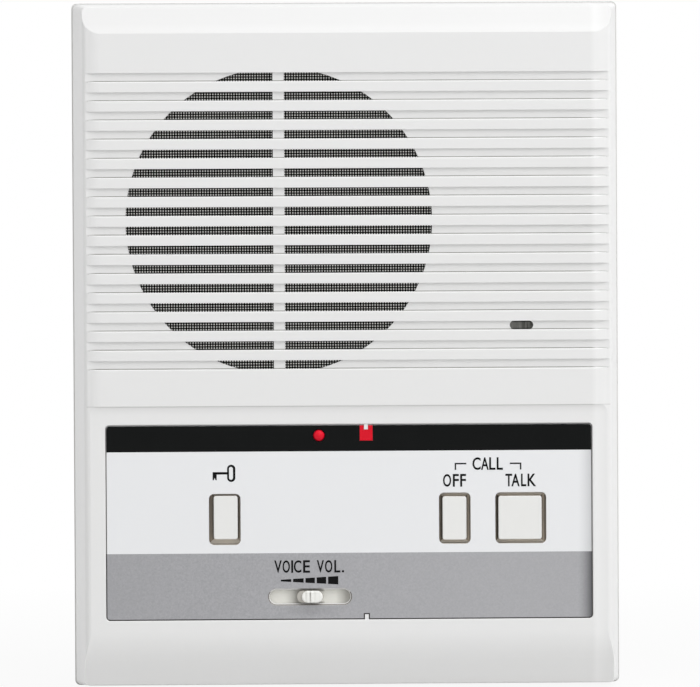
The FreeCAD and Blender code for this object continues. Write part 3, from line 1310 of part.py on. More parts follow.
def amplifier_chip():
    """Single-row chip clamped to the heat sink, with its legs on the board."""
    width, height, thickness = AMPLIFIER_SIZE
    x = HEAT_SINK_PLACE[0]
    back_z = HEAT_SINK_PLACE[1] - HEAT_SINK_SIZE[2] / 2
    low_y = BOARD_BACK_Y + AMPLIFIER_LIFT
    body = block(span(x, width), (low_y, low_y + height),
                 (back_z - thickness, back_z))
    pieces = [body]
    for index in range(AMPLIFIER_LEGS):
        leg_x = x + (index - (AMPLIFIER_LEGS - 1) / 2) * CHIP_LEG_PITCH
        pieces.append(block(span(leg_x, LEG), (BOARD_BACK_Y, low_y),
                            span(back_z - thickness / 2, LEG)))
    return fused(pieces)


def resistors():
    """A ladder of axial resistors beside the terminal block."""
    pieces = []
    for index in range(RESISTOR_COUNT):
        x = RESISTOR_FIRST[0]
        z = RESISTOR_FIRST[1] + index * RESISTOR_PITCH
        y = BOARD_BACK_Y + RESISTOR_RADIUS + RESISTOR_LIFT
        body = Part.makeCylinder(RESISTOR_RADIUS, RESISTOR_LENGTH,
                                 Vector(x - RESISTOR_LENGTH / 2, y, z), Vector(1, 0, 0))
        wire = block(span(x, RESISTOR_SPAN), span(y, LEG), span(z, LEG))
        ends = [block(span(end, LEG), (BOARD_BACK_Y, y), span(z, LEG))
                for end in span(x, RESISTOR_SPAN - LEG)]
        pieces.append(fused([body, wire] + ends))
    return Part.makeCompound(pieces)


# ---------------------------------------------------------------- rear case
def rear_case():
    """Moulded tray: wall plate, spigot, ribs, hooks, screw blocks, slots and cable window."""
    plate = rounded_plate(0, 0, WIDTH, HEIGHT, CORNER_RADIUS, REAR_FLOOR_Y, 0)
    rim = [edge for edge in plate.Edges if edge.BoundBox.YMin > -LENGTH_TOLERANCE]
    plate = plate.makeFillet(REAR_EDGE_RADIUS, rim)
    tip_y = REAR_FLOOR_Y - SPIGOT_HEIGHT
    half_width = flank_x(tip_y, WALL) - SPIGOT_GAP
    half_height = end_z(tip_y, WALL) - SPIGOT_GAP
    spigot = rounded_plate(0, 0, 2 * half_width, 2 * half_height, CORNER_RADIUS, tip_y, REAR_FLOOR_Y)
    spigot = spigot.cut(rounded_plate(0, 0, 2 * (half_width - SPIGOT_WALL),
                                      2 * (half_height - SPIGOT_WALL), CORNER_RADIUS / 2,
                                      tip_y - OVERCUT, REAR_FLOOR_Y))
    pieces = [plate, spigot] + rear_ribs(half_width, half_height)
    window_z = -CABLE_WINDOW_DROP
    collar = 2 * CABLE_WINDOW_COLLAR
    pieces.append(rounded_plate(0, window_z, CABLE_WINDOW_WIDTH + collar,
                                CABLE_WINDOW_HEIGHT + collar, CABLE_WINDOW_RADIUS,
                                REAR_FLOOR_Y - RIB_HEIGHT, REAR_FLOOR_Y))
    for end in (-1, 1):
        pieces.append(rounded_plate(0, end * WALL_SLOT_SPACING / 2, WALL_SLOT_WIDTH + 2 * WALL_PAD,
                                    WALL_SLOT_LENGTH + 2 * WALL_PAD, WALL_PAD,
                                    REAR_FLOOR_Y - RIB_HEIGHT / 2, REAR_FLOOR_Y))
    for side in (-1, 1):
        pieces.append(case_screw_block(side * CASE_SCREW_SPREAD, half_height))
        pieces += hook(side * HOOK_SPREAD)
    tray = fused(pieces)
    cuts = [rounded_plate(0, window_z, CABLE_WINDOW_WIDTH, CABLE_WINDOW_HEIGHT,
                          CABLE_WINDOW_RADIUS, REAR_FLOOR_Y - RIB_HEIGHT - OVERCUT, OVERCUT)]
    for end in (-1, 1):
        cuts.append(rounded_plate(0, end * WALL_SLOT_SPACING / 2, WALL_SLOT_WIDTH,
                                  WALL_SLOT_LENGTH, WALL_SLOT_WIDTH / 2,
                                  REAR_FLOOR_Y - RIB_HEIGHT - OVERCUT, OVERCUT))
    for side in (-1, 1):
        cuts.append(upright_rod(side * CASE_SCREW_SPREAD, -CASE_SCREW_DEPTH,
                                SCREW_SHANK + SCREW_HOLE_GAP, BOTTOM_Z,
                                case_screw_head_z() + CASE_SCREW_LENGTH + OVERCUT))
    return tray.cut(cuts)


def rear_ribs(half_width, half_height):
    """Stiffening ribs on the floor of the tray, clear of window, slots and terminals."""
    depth = (REAR_FLOOR_Y - RIB_HEIGHT, REAR_FLOOR_Y)
    rib_x = CABLE_WINDOW_WIDTH / 2 + 2 * CABLE_WINDOW_COLLAR + RIB_WIDTH
    rib_z = WALL_SLOT_SPACING / 2 + WALL_SLOT_LENGTH / 2 + 2 * WALL_PAD
    ribs = [block(span(side * rib_x, RIB_WIDTH), depth, (-half_height, half_height))
            for side in (-1, 1)]
    ribs += [block((-half_width, half_width), depth, span(end * rib_z, RIB_WIDTH))
             for end in (-1, 1)]
    return ribs


def case_screw_block(x, half_height):
    """Block behind the bottom wall that a case screw bites into."""
    back = -CASE_SCREW_DEPTH - CASE_BOSS_SIZE / 2
    return block(span(x, CASE_BOSS_SIZE), (back, REAR_FLOOR_Y),
                 (-half_height, -half_height + SPIGOT_WALL + CASE_BOSS_HEIGHT))


def hook(x):
    """Hook at the top of the tray that catches in front of a ledge on the cover."""
    ledge_low = end_z(-LEDGE_DEPTH, WALL) - LEDGE_HEIGHT
    arm_high = ledge_low - HOOK_GAP
    lip_back = -LEDGE_DEPTH - LEDGE_THICKNESS - HOOK_GAP
    width = HOOK_WIDTH - 2 * HOOK_SIDE_GAP
    arm = block(span(x, width), (lip_back - HOOK_LIP, REAR_FLOOR_Y),
                (arm_high - HOOK_THICKNESS, arm_high))
    lip = block(span(x, width), (lip_back - HOOK_LIP, lip_back),
                (arm_high, arm_high + HOOK_LIP))
    return [arm, lip]


def case_screws():
    """Two countersunk screws up through the bottom wall."""
    screws = []
    for side in (-1, 1):
        x = side * CASE_SCREW_SPREAD
        head_z = case_screw_head_z()
        head_height = SCREW_HEAD_RADIUS - SCREW_SHANK
        head = Part.makeCone(SCREW_HEAD_RADIUS, SCREW_SHANK, head_height,
                             Vector(x, -CASE_SCREW_DEPTH, head_z), Vector(0, 0, 1))
        shank = upright_rod(x, -CASE_SCREW_DEPTH, SCREW_SHANK, head_z + head_height / 2,
                            head_z + CASE_SCREW_LENGTH)
        length, width, depth = DRIVE_SLOT
        drive = block(span(x, length), span(-CASE_SCREW_DEPTH, width),
                      (head_z - OVERCUT, head_z + depth))
        screws.append(head.fuse(shank).cut(drive))
    return Part.makeCompound(screws)


# ---------------------------------------------------------------- terminals
def terminal_bottom():
    return TERMINAL_BLOCK_TOP - TERMINAL_POLES * TERMINAL_PITCH - TERMINAL_FIN


def terminal_pole_z(index):
    return TERMINAL_BLOCK_TOP - TERMINAL_FIN / 2 - (index + 0.5) * TERMINAL_PITCH


def terminal_block():
    """Moulded block with a raised fin on each side of every pole."""
    x = HEADER_PLACE[0]
    front = REAR_FLOOR_Y - TERMINAL_BASE
    pieces = [block(span(x, TERMINAL_WIDTH), (front, REAR_FLOOR_Y),
                    (terminal_bottom(), TERMINAL_BLOCK_TOP))]
    for index in range(TERMINAL_POLES + 1):
        fin_z = TERMINAL_BLOCK_TOP - TERMINAL_FIN / 2 - index * TERMINAL_PITCH
        pieces.append(block(span(x, TERMINAL_WIDTH), (front - TERMINAL_FIN_HEIGHT, front),
                            span(fin_z, TERMINAL_FIN)))
    holes = [rod(x, terminal_pole_z(index), SCREW_SHANK + SCREW_HOLE_GAP, front - OVERCUT,
                 front + TERMINAL_BASE - TERMINAL_HOLE_FLOOR) for index in range(TERMINAL_POLES)]
    return fused(pieces).cut(holes)


def terminal_screws():
    """One slotted screw on each pole, its shank in the block."""
    x = HEADER_PLACE[0]
    front = REAR_FLOOR_Y - TERMINAL_BASE
    screws = []
    for index in range(TERMINAL_POLES):
        z = terminal_pole_z(index)
        head = rod(x, z, TERMINAL_SCREW_RADIUS, front - TERMINAL_SCREW_HEAD, front)
        shank = rod(x, z, SCREW_SHANK, front, front + TERMINAL_BASE - TERMINAL_SCREW_TAIL)
        slot = block(span(x, 2 * TERMINAL_SCREW_RADIUS + OVERCUT),
                     (front - TERMINAL_SCREW_HEAD - OVERCUT, front - TERMINAL_SCREW_HEAD / 2),
                     span(z, TERMINAL_SCREW_SLOT))
        screws.append(head.fuse(shank).cut(slot))
    return Part.makeCompound(screws)


def terminal_leads():
    """Leads from the end of the terminal block to the board's header."""
    leads = []
    start_y = REAR_FLOOR_Y - TERMINAL_BASE / 2
    header_back = BOARD_BACK_Y + HEADER_SIZE[1]
    for index in range(LEAD_COUNT):
        x = HEADER_PLACE[0] + (index - (LEAD_COUNT - 1) / 2) * LEAD_PITCH
        route = [Vector(x, start_y, terminal_bottom()), Vector(x, start_y, HEADER_PLACE[1]),
                 Vector(x, header_back, HEADER_PLACE[1])]
        leads.append(tube_along(route, LEAD_RADIUS, LEAD_BEND))
    return Part.makeCompound(leads)


# ---------------------------------------------------------------- all nodes
def all_nodes():
    nodes = {
        "front_cover": front_cover(),
        "control_panel": control_panel(),
        "power_lamp_window": power_lamp_window(),
        "power_lamp": power_lamp(),
        "call_lamp": call_lamp(),
        "volume_shutter": volume_shutter(),
        "volume_knob": volume_knob(),
        "potentiometer_lever": potentiometer_lever(),
        "volume_potentiometer": volume_potentiometer(),
        "microphone_cloth": microphone_cloth(),
        "microphone_boot": microphone_boot(),
        "microphone_capsule": microphone_capsule(),
        "speaker_mesh": speaker_mesh(),
        "speaker_gasket": speaker_gasket(),
        "speaker_frame": speaker_frame(),
        "speaker_surround": speaker_surround(),
        "speaker_cone": speaker_cone(),
        "speaker_dust_cap": speaker_dust_cap(),
        "speaker_voice_coil": speaker_voice_coil(),
        "speaker_spider": speaker_spider(),
        "speaker_top_plate": speaker_top_plate(),
        "speaker_magnet": speaker_magnet(),
        "speaker_yoke": speaker_yoke(),
        "speaker_terminal_strip": speaker_terminal_strip(),
        "speaker_lugs": speaker_lugs(),
        "speaker_leads": speaker_leads(),
        "speaker_clamps": speaker_clamps(),
        "speaker_screws": speaker_screws(),
        "main_board": main_board(),
        "board_screws": board_screws(),
        "transformer_core": transformer_core(),
        "transformer_coil": transformer_coil(),
        "capacitors": capacitors(),
        "logic_chips": logic_chips(),
        "door_relay": door_relay(),
        "board_header": board_header(),
        "heat_sink": heat_sink(),
        "amplifier_chip": amplifier_chip(),
        "resistors": resistors(),
        "rear_case": rear_case(),
        "case_screws": case_screws(),
        "terminal_block": terminal_block(),
        "terminal_screws": terminal_screws(),
        "terminal_leads": terminal_leads(),
    }
    for name, (x, _) in BUTTONS.items():
        nodes[name + "_button"] = button_cap(name)
        nodes[name + "_plunger"] = plunger(x)
        nodes[name + "_switch"] = key_switch(x)
    return nodes


def main():
    os.makedirs("parts", exist_ok=True)
    for name, shape in all_nodes().items():
        shape.exportStep("parts/" + name + ".step")
        print(name, len(shape.Solids), round(shape.Volume, 2), shape.isValid())


main()
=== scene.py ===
"""Looks of the intercom master station: finishes, printing, light, floor and camera."""
import math

import bmesh
import bpy
from mathutils import Matrix, Vector


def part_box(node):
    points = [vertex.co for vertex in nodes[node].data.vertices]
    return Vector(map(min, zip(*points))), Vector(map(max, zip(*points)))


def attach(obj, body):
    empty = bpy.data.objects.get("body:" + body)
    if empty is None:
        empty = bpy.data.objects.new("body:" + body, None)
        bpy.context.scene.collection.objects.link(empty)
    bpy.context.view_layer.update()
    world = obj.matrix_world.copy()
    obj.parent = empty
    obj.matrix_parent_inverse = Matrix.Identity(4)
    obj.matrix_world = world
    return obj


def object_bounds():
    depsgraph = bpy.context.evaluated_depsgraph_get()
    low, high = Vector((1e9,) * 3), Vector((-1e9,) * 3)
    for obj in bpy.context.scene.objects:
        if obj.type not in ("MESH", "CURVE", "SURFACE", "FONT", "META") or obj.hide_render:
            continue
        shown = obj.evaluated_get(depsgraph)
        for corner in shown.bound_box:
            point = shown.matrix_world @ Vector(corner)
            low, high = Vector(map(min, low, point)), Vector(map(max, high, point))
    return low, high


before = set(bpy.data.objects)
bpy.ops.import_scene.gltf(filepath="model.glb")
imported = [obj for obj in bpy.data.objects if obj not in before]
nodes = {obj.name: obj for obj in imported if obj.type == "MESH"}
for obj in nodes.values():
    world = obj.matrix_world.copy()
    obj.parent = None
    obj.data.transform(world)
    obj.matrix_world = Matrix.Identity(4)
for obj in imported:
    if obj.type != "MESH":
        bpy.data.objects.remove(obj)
cad_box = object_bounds()

MM = 0.001


# ---------------------------------------------------------------- places, in mm
def corners(node):
    """A node's lowest and highest corners."""
    return [[round(value / MM, 3) for value in corner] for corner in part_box(node)]


def middle(node):
    """The middle of a node's box."""
    return [(low + high) / 2 for low, high in zip(*corners(node))]


# The groove field of the cover. Its rows are counted in pitches, to the foot of the last groove
GROOVE_TOP = 68.18
GROOVE_PITCH = 4.784
GROOVE_HEIGHT = 2.15
GROOVE_ROWS = 15.48
GROOVE_LINE = 0.28
GROOVE_BEHIND = -41.55
GROOVE_END = 65.4
GROOVE_FADE = 2.5
STEP_Z = -15.0
STEP_LINE = 0.2

# The panel, the borders of its colours, its lower tab and the gap round it
PANEL_LOW, PANEL_HIGH = corners("control_panel")
PANEL_SIDE = PANEL_HIGH[0]
PANEL_FRONT = PANEL_LOW[1]
PANEL_FOOT = PANEL_LOW[2]
PANEL_TOP = PANEL_HIGH[2]
CUT_EDGE = PANEL_FRONT + 0.05
BLACK_FOOT = -26.35
SILVER_TOP = -51.75
TAB_X = 4.25
TAB_REACH = 0.85
TAB_TOP = -66.8
GAP_OVERLAP = 0.05
GAP_SIDE = 0.7
GAP_TOP = 0.25
GAP_FOOT = 0.35
HOLLOW_BEHIND = -41.2

# The button wells, and the caps with the lip behind each of them
WELL_Z = -43.25
WELL_REACH = 6.6
WELL_BEHIND = -40.5
WELLS_END = 60.0
CAP_HEIGHT = 10.88
CAP_LIP = -40.9

# Each cap's middle in X and Z, and its width
CAPS = {
    "door_release": (-30.87, -42.8, 6.0),
    "off": (26.27, -43.25, 6.0),
    "talk": (42.67, -43.22, 10.85),
}

# The volume slot, its knob and its shutter
SLOT_X = middle("volume_potentiometer")[0]
SLOT_Z = -62.75
SLOT_LENGTH = 20.95
SLOT_HEIGHT = 4.2
SLOT_LINE = 0.12
SLOT_LINE_IN = 0.04
SLOT_LINE_TOP = SLOT_Z + 1.2
SLOT_WALL_OUT = 0.3
SLOT_WALL_IN = 0.8
KNOB_X = middle("volume_knob")[0]
KNOB_BASE = -41.1
OVER_KNOB_SHIFT = 0.1
SHUTTER_UNSHADED_HALF = 1.3

# The microphone's hole, with its reach across and up, the speaker's axis, and the pitches of
# the wire mesh, of the felt and of the rings in the cone
MICROPHONE_X, _, MICROPHONE_Z = middle("microphone_cloth")
MICROPHONE_HOLE = (3.2, 1.3)
SPEAKER_X, _, SPEAKER_Z = middle("speaker_cone")
WEAVE_PITCH = 0.66
FELT_PITCH = 0.9
CONE_RING_PITCH = 1.1

# The levels of Y where legs meet bodies. Legs stand behind theirs, but the amplifier's and the
# chips' stand in front. Nothing passes the wall plane, so NO_LEGS gives a part none
NO_LEGS = 0
SWITCH_LEGS = -30.95
LAMP_LEGS = -31.0
CALL_LAMP_LEGS = -37.2
AMPLIFIER_LEGS = -26.4
CHIP_LEGS = -28.85
CHIP_ROWS = (-24.0, -64.0)
CHIP_REACH = 3.2

# The resistors run along X: their bodies' end, middle and reach. So does each row of leads
RESISTOR_START = 29.9
RESISTOR_X = middle("resistors")[0]
RESISTOR_REACH = 3.15
BAND_WIDTH = 0.65
LEAD_RADIUS = 0.7

# Painted shade and painted light: where each one starts, or ends, and over how far it grows
CAP_SHADE = (0.12, 0.35)
LIP_CORNER = (0.68, 0.2)
WELL_FOOT = (6.15, 0.15)
LIT_BEVEL = (60.6, 1.2)
LIT_BEVEL_END = (64.7, 2.7)
TOP_SHADE = (79, 1.5)
TOP_EDGE_SHADE = (86.3, 0.3)
OVER_KNOB = (3.4, 0.9)
PANEL_SHADE = (57, 3.4)
SILVER_LEFT = (-20, 60)
SILVER_RIGHT = (-25, 60)
SHUTTER_LEFT = (-16.8, 3.5)
SHUTTER_RIGHT = (-3.4, 2.6)
SHUTTER_RIGHT_END = (3.2, 2.4)
SHUTTER_EDGE = (3.7, 0.6)
CLOTH_SHADE = (40.3, 5.4)
CLOTH_RIM = (0.62, 0.25)

# The shadow painted on the panel under the knob: its level, and its reach across and up
KNOB_SHADOW_Z = -66
KNOB_SHADOW_REACH = (5, 1.6)

# The knob's grooves: place from its middle, half a width, and how dark the painted shade in it is
KNOB_GROOVES = ((0, 0.22, 0.28), (-1.1, 0.3, 0.17), (1.1, 0.25, 0.07), (2.25, 0.2, 0.05))


# ---------------------------------------------------------------- shader recipes
def ink(red, green, blue):
    """A colour written in 0 to 255 screen values, as the shader's linear values."""
    def linear(value):
        value /= 255
        return value / 12.92 if value <= 0.04045 else ((value + 0.055) / 1.055) ** 2.4
    return (linear(red), linear(green), linear(blue), 1)


def darker(colour, share):
    return tuple(share * part for part in colour[:3]) + (1,)


class Field:
    """A shader output. Arithmetic on it adds Math nodes to its finish."""

    def __init__(self, finish, socket):
        self.finish = finish
        self.socket = socket

    def maths(self, operation, *values):
        return self.finish.add("ShaderNodeMath", {"operation": operation}, dict(enumerate(values)))

    def __add__(self, other):
        return self.maths("ADD", self, other)

    def __radd__(self, other):
        return self.maths("ADD", other, self)

    def __sub__(self, other):
        return self.maths("SUBTRACT", self, other)

    def __rsub__(self, other):
        return self.maths("SUBTRACT", other, self)

    def __mul__(self, other):
        return self.maths("MULTIPLY", self, other)

    def __truediv__(self, other):
        return self.maths("DIVIDE", self, other)

    def __pow__(self, other):
        return self.maths("POWER", self, other)

    def __gt__(self, other):
        return self.maths("GREATER_THAN", self, other)

    def __lt__(self, other):
        return self.maths("LESS_THAN", self, other)

    def __abs__(self):
        return self.maths("ABSOLUTE", self)

    def sine(self):
        return self.maths("SINE", self)

    def fraction(self):
        return self.maths("FRACT", self)

    def larger(self, other):
        return self.maths("MAXIMUM", self, other)

    def limited(self):
        """The value, kept from 0 to 1."""
        return self.finish.add("ShaderNodeClamp", {}, {0: self})


class Finish:
    """One material or world: one method adds its nodes, and its shader is set at the end.

    A material's places, noise and bumps are in mm."""

    def __init__(self, name, world=None):
        self.holder = world or bpy.data.materials.new(name)
        self.holder.use_nodes = True
        self.tree = self.holder.node_tree
        self.tree.nodes.clear()
        if world:
            self.place = self.add("ShaderNodeTexCoord", give="Generated")
        else:
            self.place = self.add("ShaderNodeVectorMath", {"operation": "SCALE"}, {
                0: self.add("ShaderNodeTexCoord", give="Object"), "Scale": 1 / MM})
        self.x, self.y, self.z = [
            self.add("ShaderNodeSeparateXYZ", {}, {0: self.place}, give=axis) for axis in "XYZ"]

    def add(self, kind, settings=None, sockets=None, give=0):
        """Adds a node: first its settings, then the values or links of its sockets."""
        node = self.tree.nodes.new(kind)
        for name, value in (settings or {}).items():
            setattr(node, name, value)
        for key, value in (sockets or {}).items():
            if isinstance(value, Field):
                self.tree.links.new(value.socket, node.inputs[key])
            else:
                node.inputs[key].default_value = value
        return Field(self, node.outputs[give]) if len(node.outputs) else node

    def noise(self, feature, detail=2.0, stretch=(1, 1, 1), roughness=0.5):
        """Noise whose features are about that many mm across."""
        place = self.place
        if stretch != (1, 1, 1):
            place = self.add("ShaderNodeMapping", {}, {"Vector": place, "Scale": stretch})
        return self.add("ShaderNodeTexNoise", {}, {
            "Vector": place, "Scale": 1 / feature, "Detail": detail, "Roughness": roughness})

    def facing(self, axis):
        """How far the surface faces along an axis, from -1 to 1."""
        normal = self.add("ShaderNodeTexCoord", give="Normal")
        return self.add("ShaderNodeSeparateXYZ", {}, {0: normal}, give=axis)

    def blend(self, factor, first, second):
        return self.add("ShaderNodeMix", {"data_type": "RGBA"}, {0: factor, 6: first, 7: second}, 2)

    def bump(self, height, depth):
        return self.add("ShaderNodeBump", {}, {
            "Height": height, "Distance": depth * MM, "Strength": 1.0})

    def shell(self, **sockets):
        """A Principled shader. Socket names are written with _ for each space."""
        named = {key.replace("_", " "): value for key, value in sockets.items()}
        return self.add("ShaderNodeBsdfPrincipled", {}, named)

    def either(self, factor, first, second):
        return self.add("ShaderNodeMixShader", {}, {0: factor, 1: first, 2: second})

    def past(self, field, start, reach):
        """0 up to a level, then rising to 1 over a reach."""
        return ((field - start) / reach).limited()

    def until(self, field, end, reach):
        """1 up to a reach before a level, then falling to 0 at it."""
        return ((end - field) / reach).limited()

    def tinned(self):
        """Tinned wire or leg."""
        fine = self.noise(0.3, 3)
        return self.shell(Base_Color=self.blend(fine, ink(176, 176, 172), ink(204, 204, 200)),
                          Metallic=1.0, Roughness=0.34 + (fine - 0.5) * 0.2)

    def plastic_tone(self, colour, tint):
        """The colour of a moulding, which drifts slowly and is faintly mottled."""
        tone = self.blend((self.noise(60, 3) - 0.35) * 1.2, colour, tint)
        mottle = (self.noise(1.6, 2) - 0.5).limited() * 0.1
        return self.blend(mottle, tone, darker(colour, 0.86))

    def plastic(self, tone, rough=0.42, gloss=0.5, grain=0.28, depth=0.012):
        """Plastic with spark-eroded grain and faint rubbed places."""
        fine = self.noise(grain, 3, roughness=0.6)
        rubbed = self.noise(11, 4, stretch=(1, 1, 0.35))
        return self.shell(
            Base_Color=tone, Roughness=rough + (fine - 0.5) * 0.16 + (rubbed - 0.5) * 0.12,
            Specular_IOR_Level=gloss, Normal=self.bump(fine, depth))

    def wall_shade(self):
        """Painted shade on the walls round the buttons, darkest on the walls that face right."""
        beside = self.blend(self.facing("X") < 0, ink(128, 118, 104), ink(238, 228, 214))
        return self.blend(abs(self.facing("Z")), beside, ink(246, 240, 230))

    def seen(self):
        """1 for rays that show the surface itself, in a mirror or through a lens too; 0 for light."""
        rays = [self.add("ShaderNodeLightPath", give="Is " + kind + " Ray")
                for kind in ("Camera", "Glossy", "Transmission")]
        return rays[0].larger(rays[1]).larger(rays[2])

    def done(self, shader, output="ShaderNodeOutputMaterial"):
        self.add(output, {}, {"Surface": shader})
        return self.holder


# ---------------------------------------------------------------- finishes of the front
def moulded(name, colour, tint, rough=0.42, gloss=0.5, grain=0.28, depth=0.012):
    """Injection-moulded plastic."""
    finish = Finish(name)
    return finish.done(finish.plastic(finish.plastic_tone(colour, tint), rough, gloss, grain, depth))


def button_finish(name, cap_x, cap_z, cap_width):
    """Button plastic, with painted shade and light on the lip round the cap: darkest beside the cap,
    palest above and below.
    """
    finish = Finish(name + "_plastic")
    tone = finish.plastic_tone(ink(242, 242, 240), ink(239, 239, 237))
    beside = abs(finish.x - cap_x) - cap_width / 2
    above = abs(finish.z - cap_z) - CAP_HEIGHT / 2
    reach = beside.larger(above)
    ends = above > beside
    right = finish.x > cap_x
    # Painted shade beside the cap, in the lip's outer corner on the right and at the well's foot;
    # painted light above and below the cap and on its right
    deep_shade = ink(96, 86, 74)
    side_shading = finish.blend(right, ink(202, 189, 171), ink(246, 233, 216))
    film = finish.blend(ends, side_shading, ink(255, 250, 242))
    shade = finish.blend(ends, ink(112, 102, 90), ink(242, 233, 220))
    film = finish.blend(finish.past(reach, *CAP_SHADE), shade, film)
    corner = finish.past(reach, *LIP_CORNER) * right * (1 - ends)
    film = finish.blend(corner * 0.5, film, deep_shade)
    film = finish.blend(finish.past(WELL_Z - finish.z, *WELL_FOOT) * 0.5, film, deep_shade)
    tone = finish.blend(finish.y > CAP_LIP, tone, film)
    return finish.done(finish.plastic(tone, 0.36, 0.5, 0.2, 0.006))


def grooved_cover():
    """The cover's plastic, with painted shade wherever it has a corner, a hole, a gap or a step and
    along its top, and painted light on its right bevel.
    """
    finish = Finish("cover_plastic")
    tone = finish.plastic_tone(ink(240, 240, 240), ink(238, 238, 237))
    wells = (abs(finish.z - WELL_Z) < WELL_REACH) * (abs(finish.x) < WELLS_END)
    # Painted shade in the lower corner of each groove
    tone = finish.blend(groove_corner_shade(finish), tone, ink(138, 137, 132))
    # Painted shade on the walls of the button wells
    tone = finish.blend(wells * (finish.y > WELL_BEHIND), tone, finish.wall_shade())
    # Painted shade on the walls of the microphone's hole
    tone = finish.blend(microphone_walls(finish), tone, ink(70, 68, 66))
    # Painted shade on the slot's lip
    tone = finish.blend(slot_lip(finish), tone, ink(84, 78, 70))
    # Painted shade in the gap round the panel
    tone = finish.blend(panel_gap(finish), tone, ink(44, 42, 40))
    # Painted shade along the step
    step = (1 - abs(finish.z - STEP_Z) / STEP_LINE).limited() * (abs(finish.x) < GROOVE_END)
    tone = finish.blend(step * 0.3, tone, ink(120, 118, 114))
    # Painted light on the right bevel
    painted_light = finish.past(finish.x, *LIT_BEVEL) * finish.until(finish.x, *LIT_BEVEL_END)
    tone = finish.blend(painted_light * 0.62, tone, ink(249, 249, 249))
    # Painted shade on the top chamfer, darkest along the top edge
    top_shade = finish.past(finish.z, *TOP_SHADE) * 0.03 + finish.past(finish.z, *TOP_EDGE_SHADE) * 0.17
    tone = finish.blend(top_shade, tone, ink(90, 88, 84))
    return finish.done(finish.plastic(tone))


def groove_corner_shade(finish):
    """Painted shade in the lower corner of each groove, which fades out at the grooves' ends."""
    turn = (GROOVE_TOP - finish.z) / GROOVE_PITCH
    along = turn.fraction() * GROOVE_PITCH
    corner = 1 - abs(along - GROOVE_HEIGHT) / GROOVE_LINE
    inside = (turn > 0) * (turn < GROOVE_ROWS) * (finish.y > GROOVE_BEHIND)
    fade = finish.until(abs(finish.x), GROOVE_END, GROOVE_FADE)
    return (corner * 1.8).limited() * inside * fade * (0.6 + finish.noise(9, 3) * 0.6)


def panel_gap(finish):
    """Painted shade in the gap round the panel's sides, its foot and its lower tab, darker towards the
    foot.
    """
    beside = abs(finish.x) > PANEL_SIDE - GAP_OVERLAP
    below = finish.z < PANEL_FOOT + GAP_OVERLAP
    tab = (abs(finish.x - TAB_X) < TAB_REACH) * (finish.z < TAB_TOP)
    across = abs(finish.x) < PANEL_SIDE + GAP_SIDE
    upright = (finish.z < PANEL_TOP - GAP_TOP) * (finish.z > PANEL_FOOT - GAP_FOOT)
    place = beside.larger(below).larger(tab) * across * upright
    return place * (finish.y > HOLLOW_BEHIND) * (0.45 + (finish.z < SILVER_TOP) * 0.45)


def microphone_walls(finish):
    """1 on the walls of the hole in front of the microphone."""
    across, up = MICROPHONE_HOLE
    near = (abs(finish.x - MICROPHONE_X) < across) * (abs(finish.z - MICROPHONE_Z) < up)
    return near * (finish.y > HOLLOW_BEHIND)


def slot_lip(finish):
    """Painted shade on the lip inside the volume slot: a line along its edge, and all of it above the
    knob.
    """
    round_end = (abs(finish.x - SLOT_X) - (SLOT_LENGTH - SLOT_HEIGHT) / 2).larger(0)
    from_edge = (round_end ** 2 + (finish.z - SLOT_Z) ** 2) ** 0.5 - SLOT_HEIGHT / 2
    line = (1.8 - abs(from_edge + SLOT_LINE_IN) / SLOT_LINE).limited() * (finish.z < SLOT_LINE_TOP)
    from_knob = abs(finish.x - (KNOB_X + OVER_KNOB_SHIFT))
    over = finish.until(from_knob, *OVER_KNOB) * (finish.z > SLOT_Z)
    inside = (from_edge < SLOT_WALL_OUT) * (from_edge > -SLOT_WALL_IN) * (finish.y > HOLLOW_BEHIND)
    return line.larger(over * 0.6) * inside


def printed_panel():
    """Screen-printed film on the panel: black strip, white middle, silver-grey foot."""
    finish = Finish("panel_print")
    # Painted shade towards the panel's right edge
    edge = finish.past(finish.x, *PANEL_SHADE) ** 1.5
    white = finish.blend((finish.noise(50, 3) - 0.3), ink(243, 244, 246), ink(241, 242, 244))
    white = finish.blend(edge, white, ink(210, 211, 213))
    flake = finish.noise(0.42, 2, roughness=0.7)
    cloud = finish.noise(6, 3)
    silver = finish.blend((flake - 0.25) * 1.6, ink(158, 158, 162), ink(188, 188, 191))
    silver = finish.blend((cloud - 0.4) * 0.8, silver, ink(168, 168, 171))
    # Painted sheen on the silver print: darker to the left, lighter to the right
    silver = finish.blend(finish.until(finish.x, *SILVER_LEFT) * 0.5, silver, ink(158, 158, 161))
    silver = finish.blend(finish.past(finish.x, *SILVER_RIGHT) * 0.5, silver, ink(182, 182, 185))
    silver = finish.blend(edge, silver, ink(96, 96, 99))
    pale = finish.blend(finish.z < SILVER_TOP, white, silver)
    # A painted shadow on the panel under the knob
    across, up = KNOB_SHADOW_REACH
    from_shadow = (((finish.x - KNOB_X) / across) ** 2 + ((finish.z - KNOB_SHADOW_Z) / up) ** 2) ** 0.5
    pale = finish.blend((1.3 - from_shadow).limited() * 0.16, pale, ink(70, 68, 66))
    # Painted shade on the panel's cut edges
    pale = finish.blend(finish.y > CUT_EDGE, pale, finish.wall_shade())
    film = finish.noise(0.5, 2)
    skin = finish.bump(film, 0.006)
    paper = finish.shell(Base_Color=pale, Roughness=0.45 + (film - 0.5) * 0.12, Normal=skin,
                         Specular_IOR_Level=0.4)
    black = finish.blend(cloud, ink(6, 8, 8), ink(13, 15, 15))
    strip = finish.shell(Base_Color=black, Roughness=0.38 + (film - 0.5) * 0.1, Normal=skin,
                         Specular_IOR_Level=0.1)
    return finish.done(finish.either(finish.z > BLACK_FOOT, paper, strip))


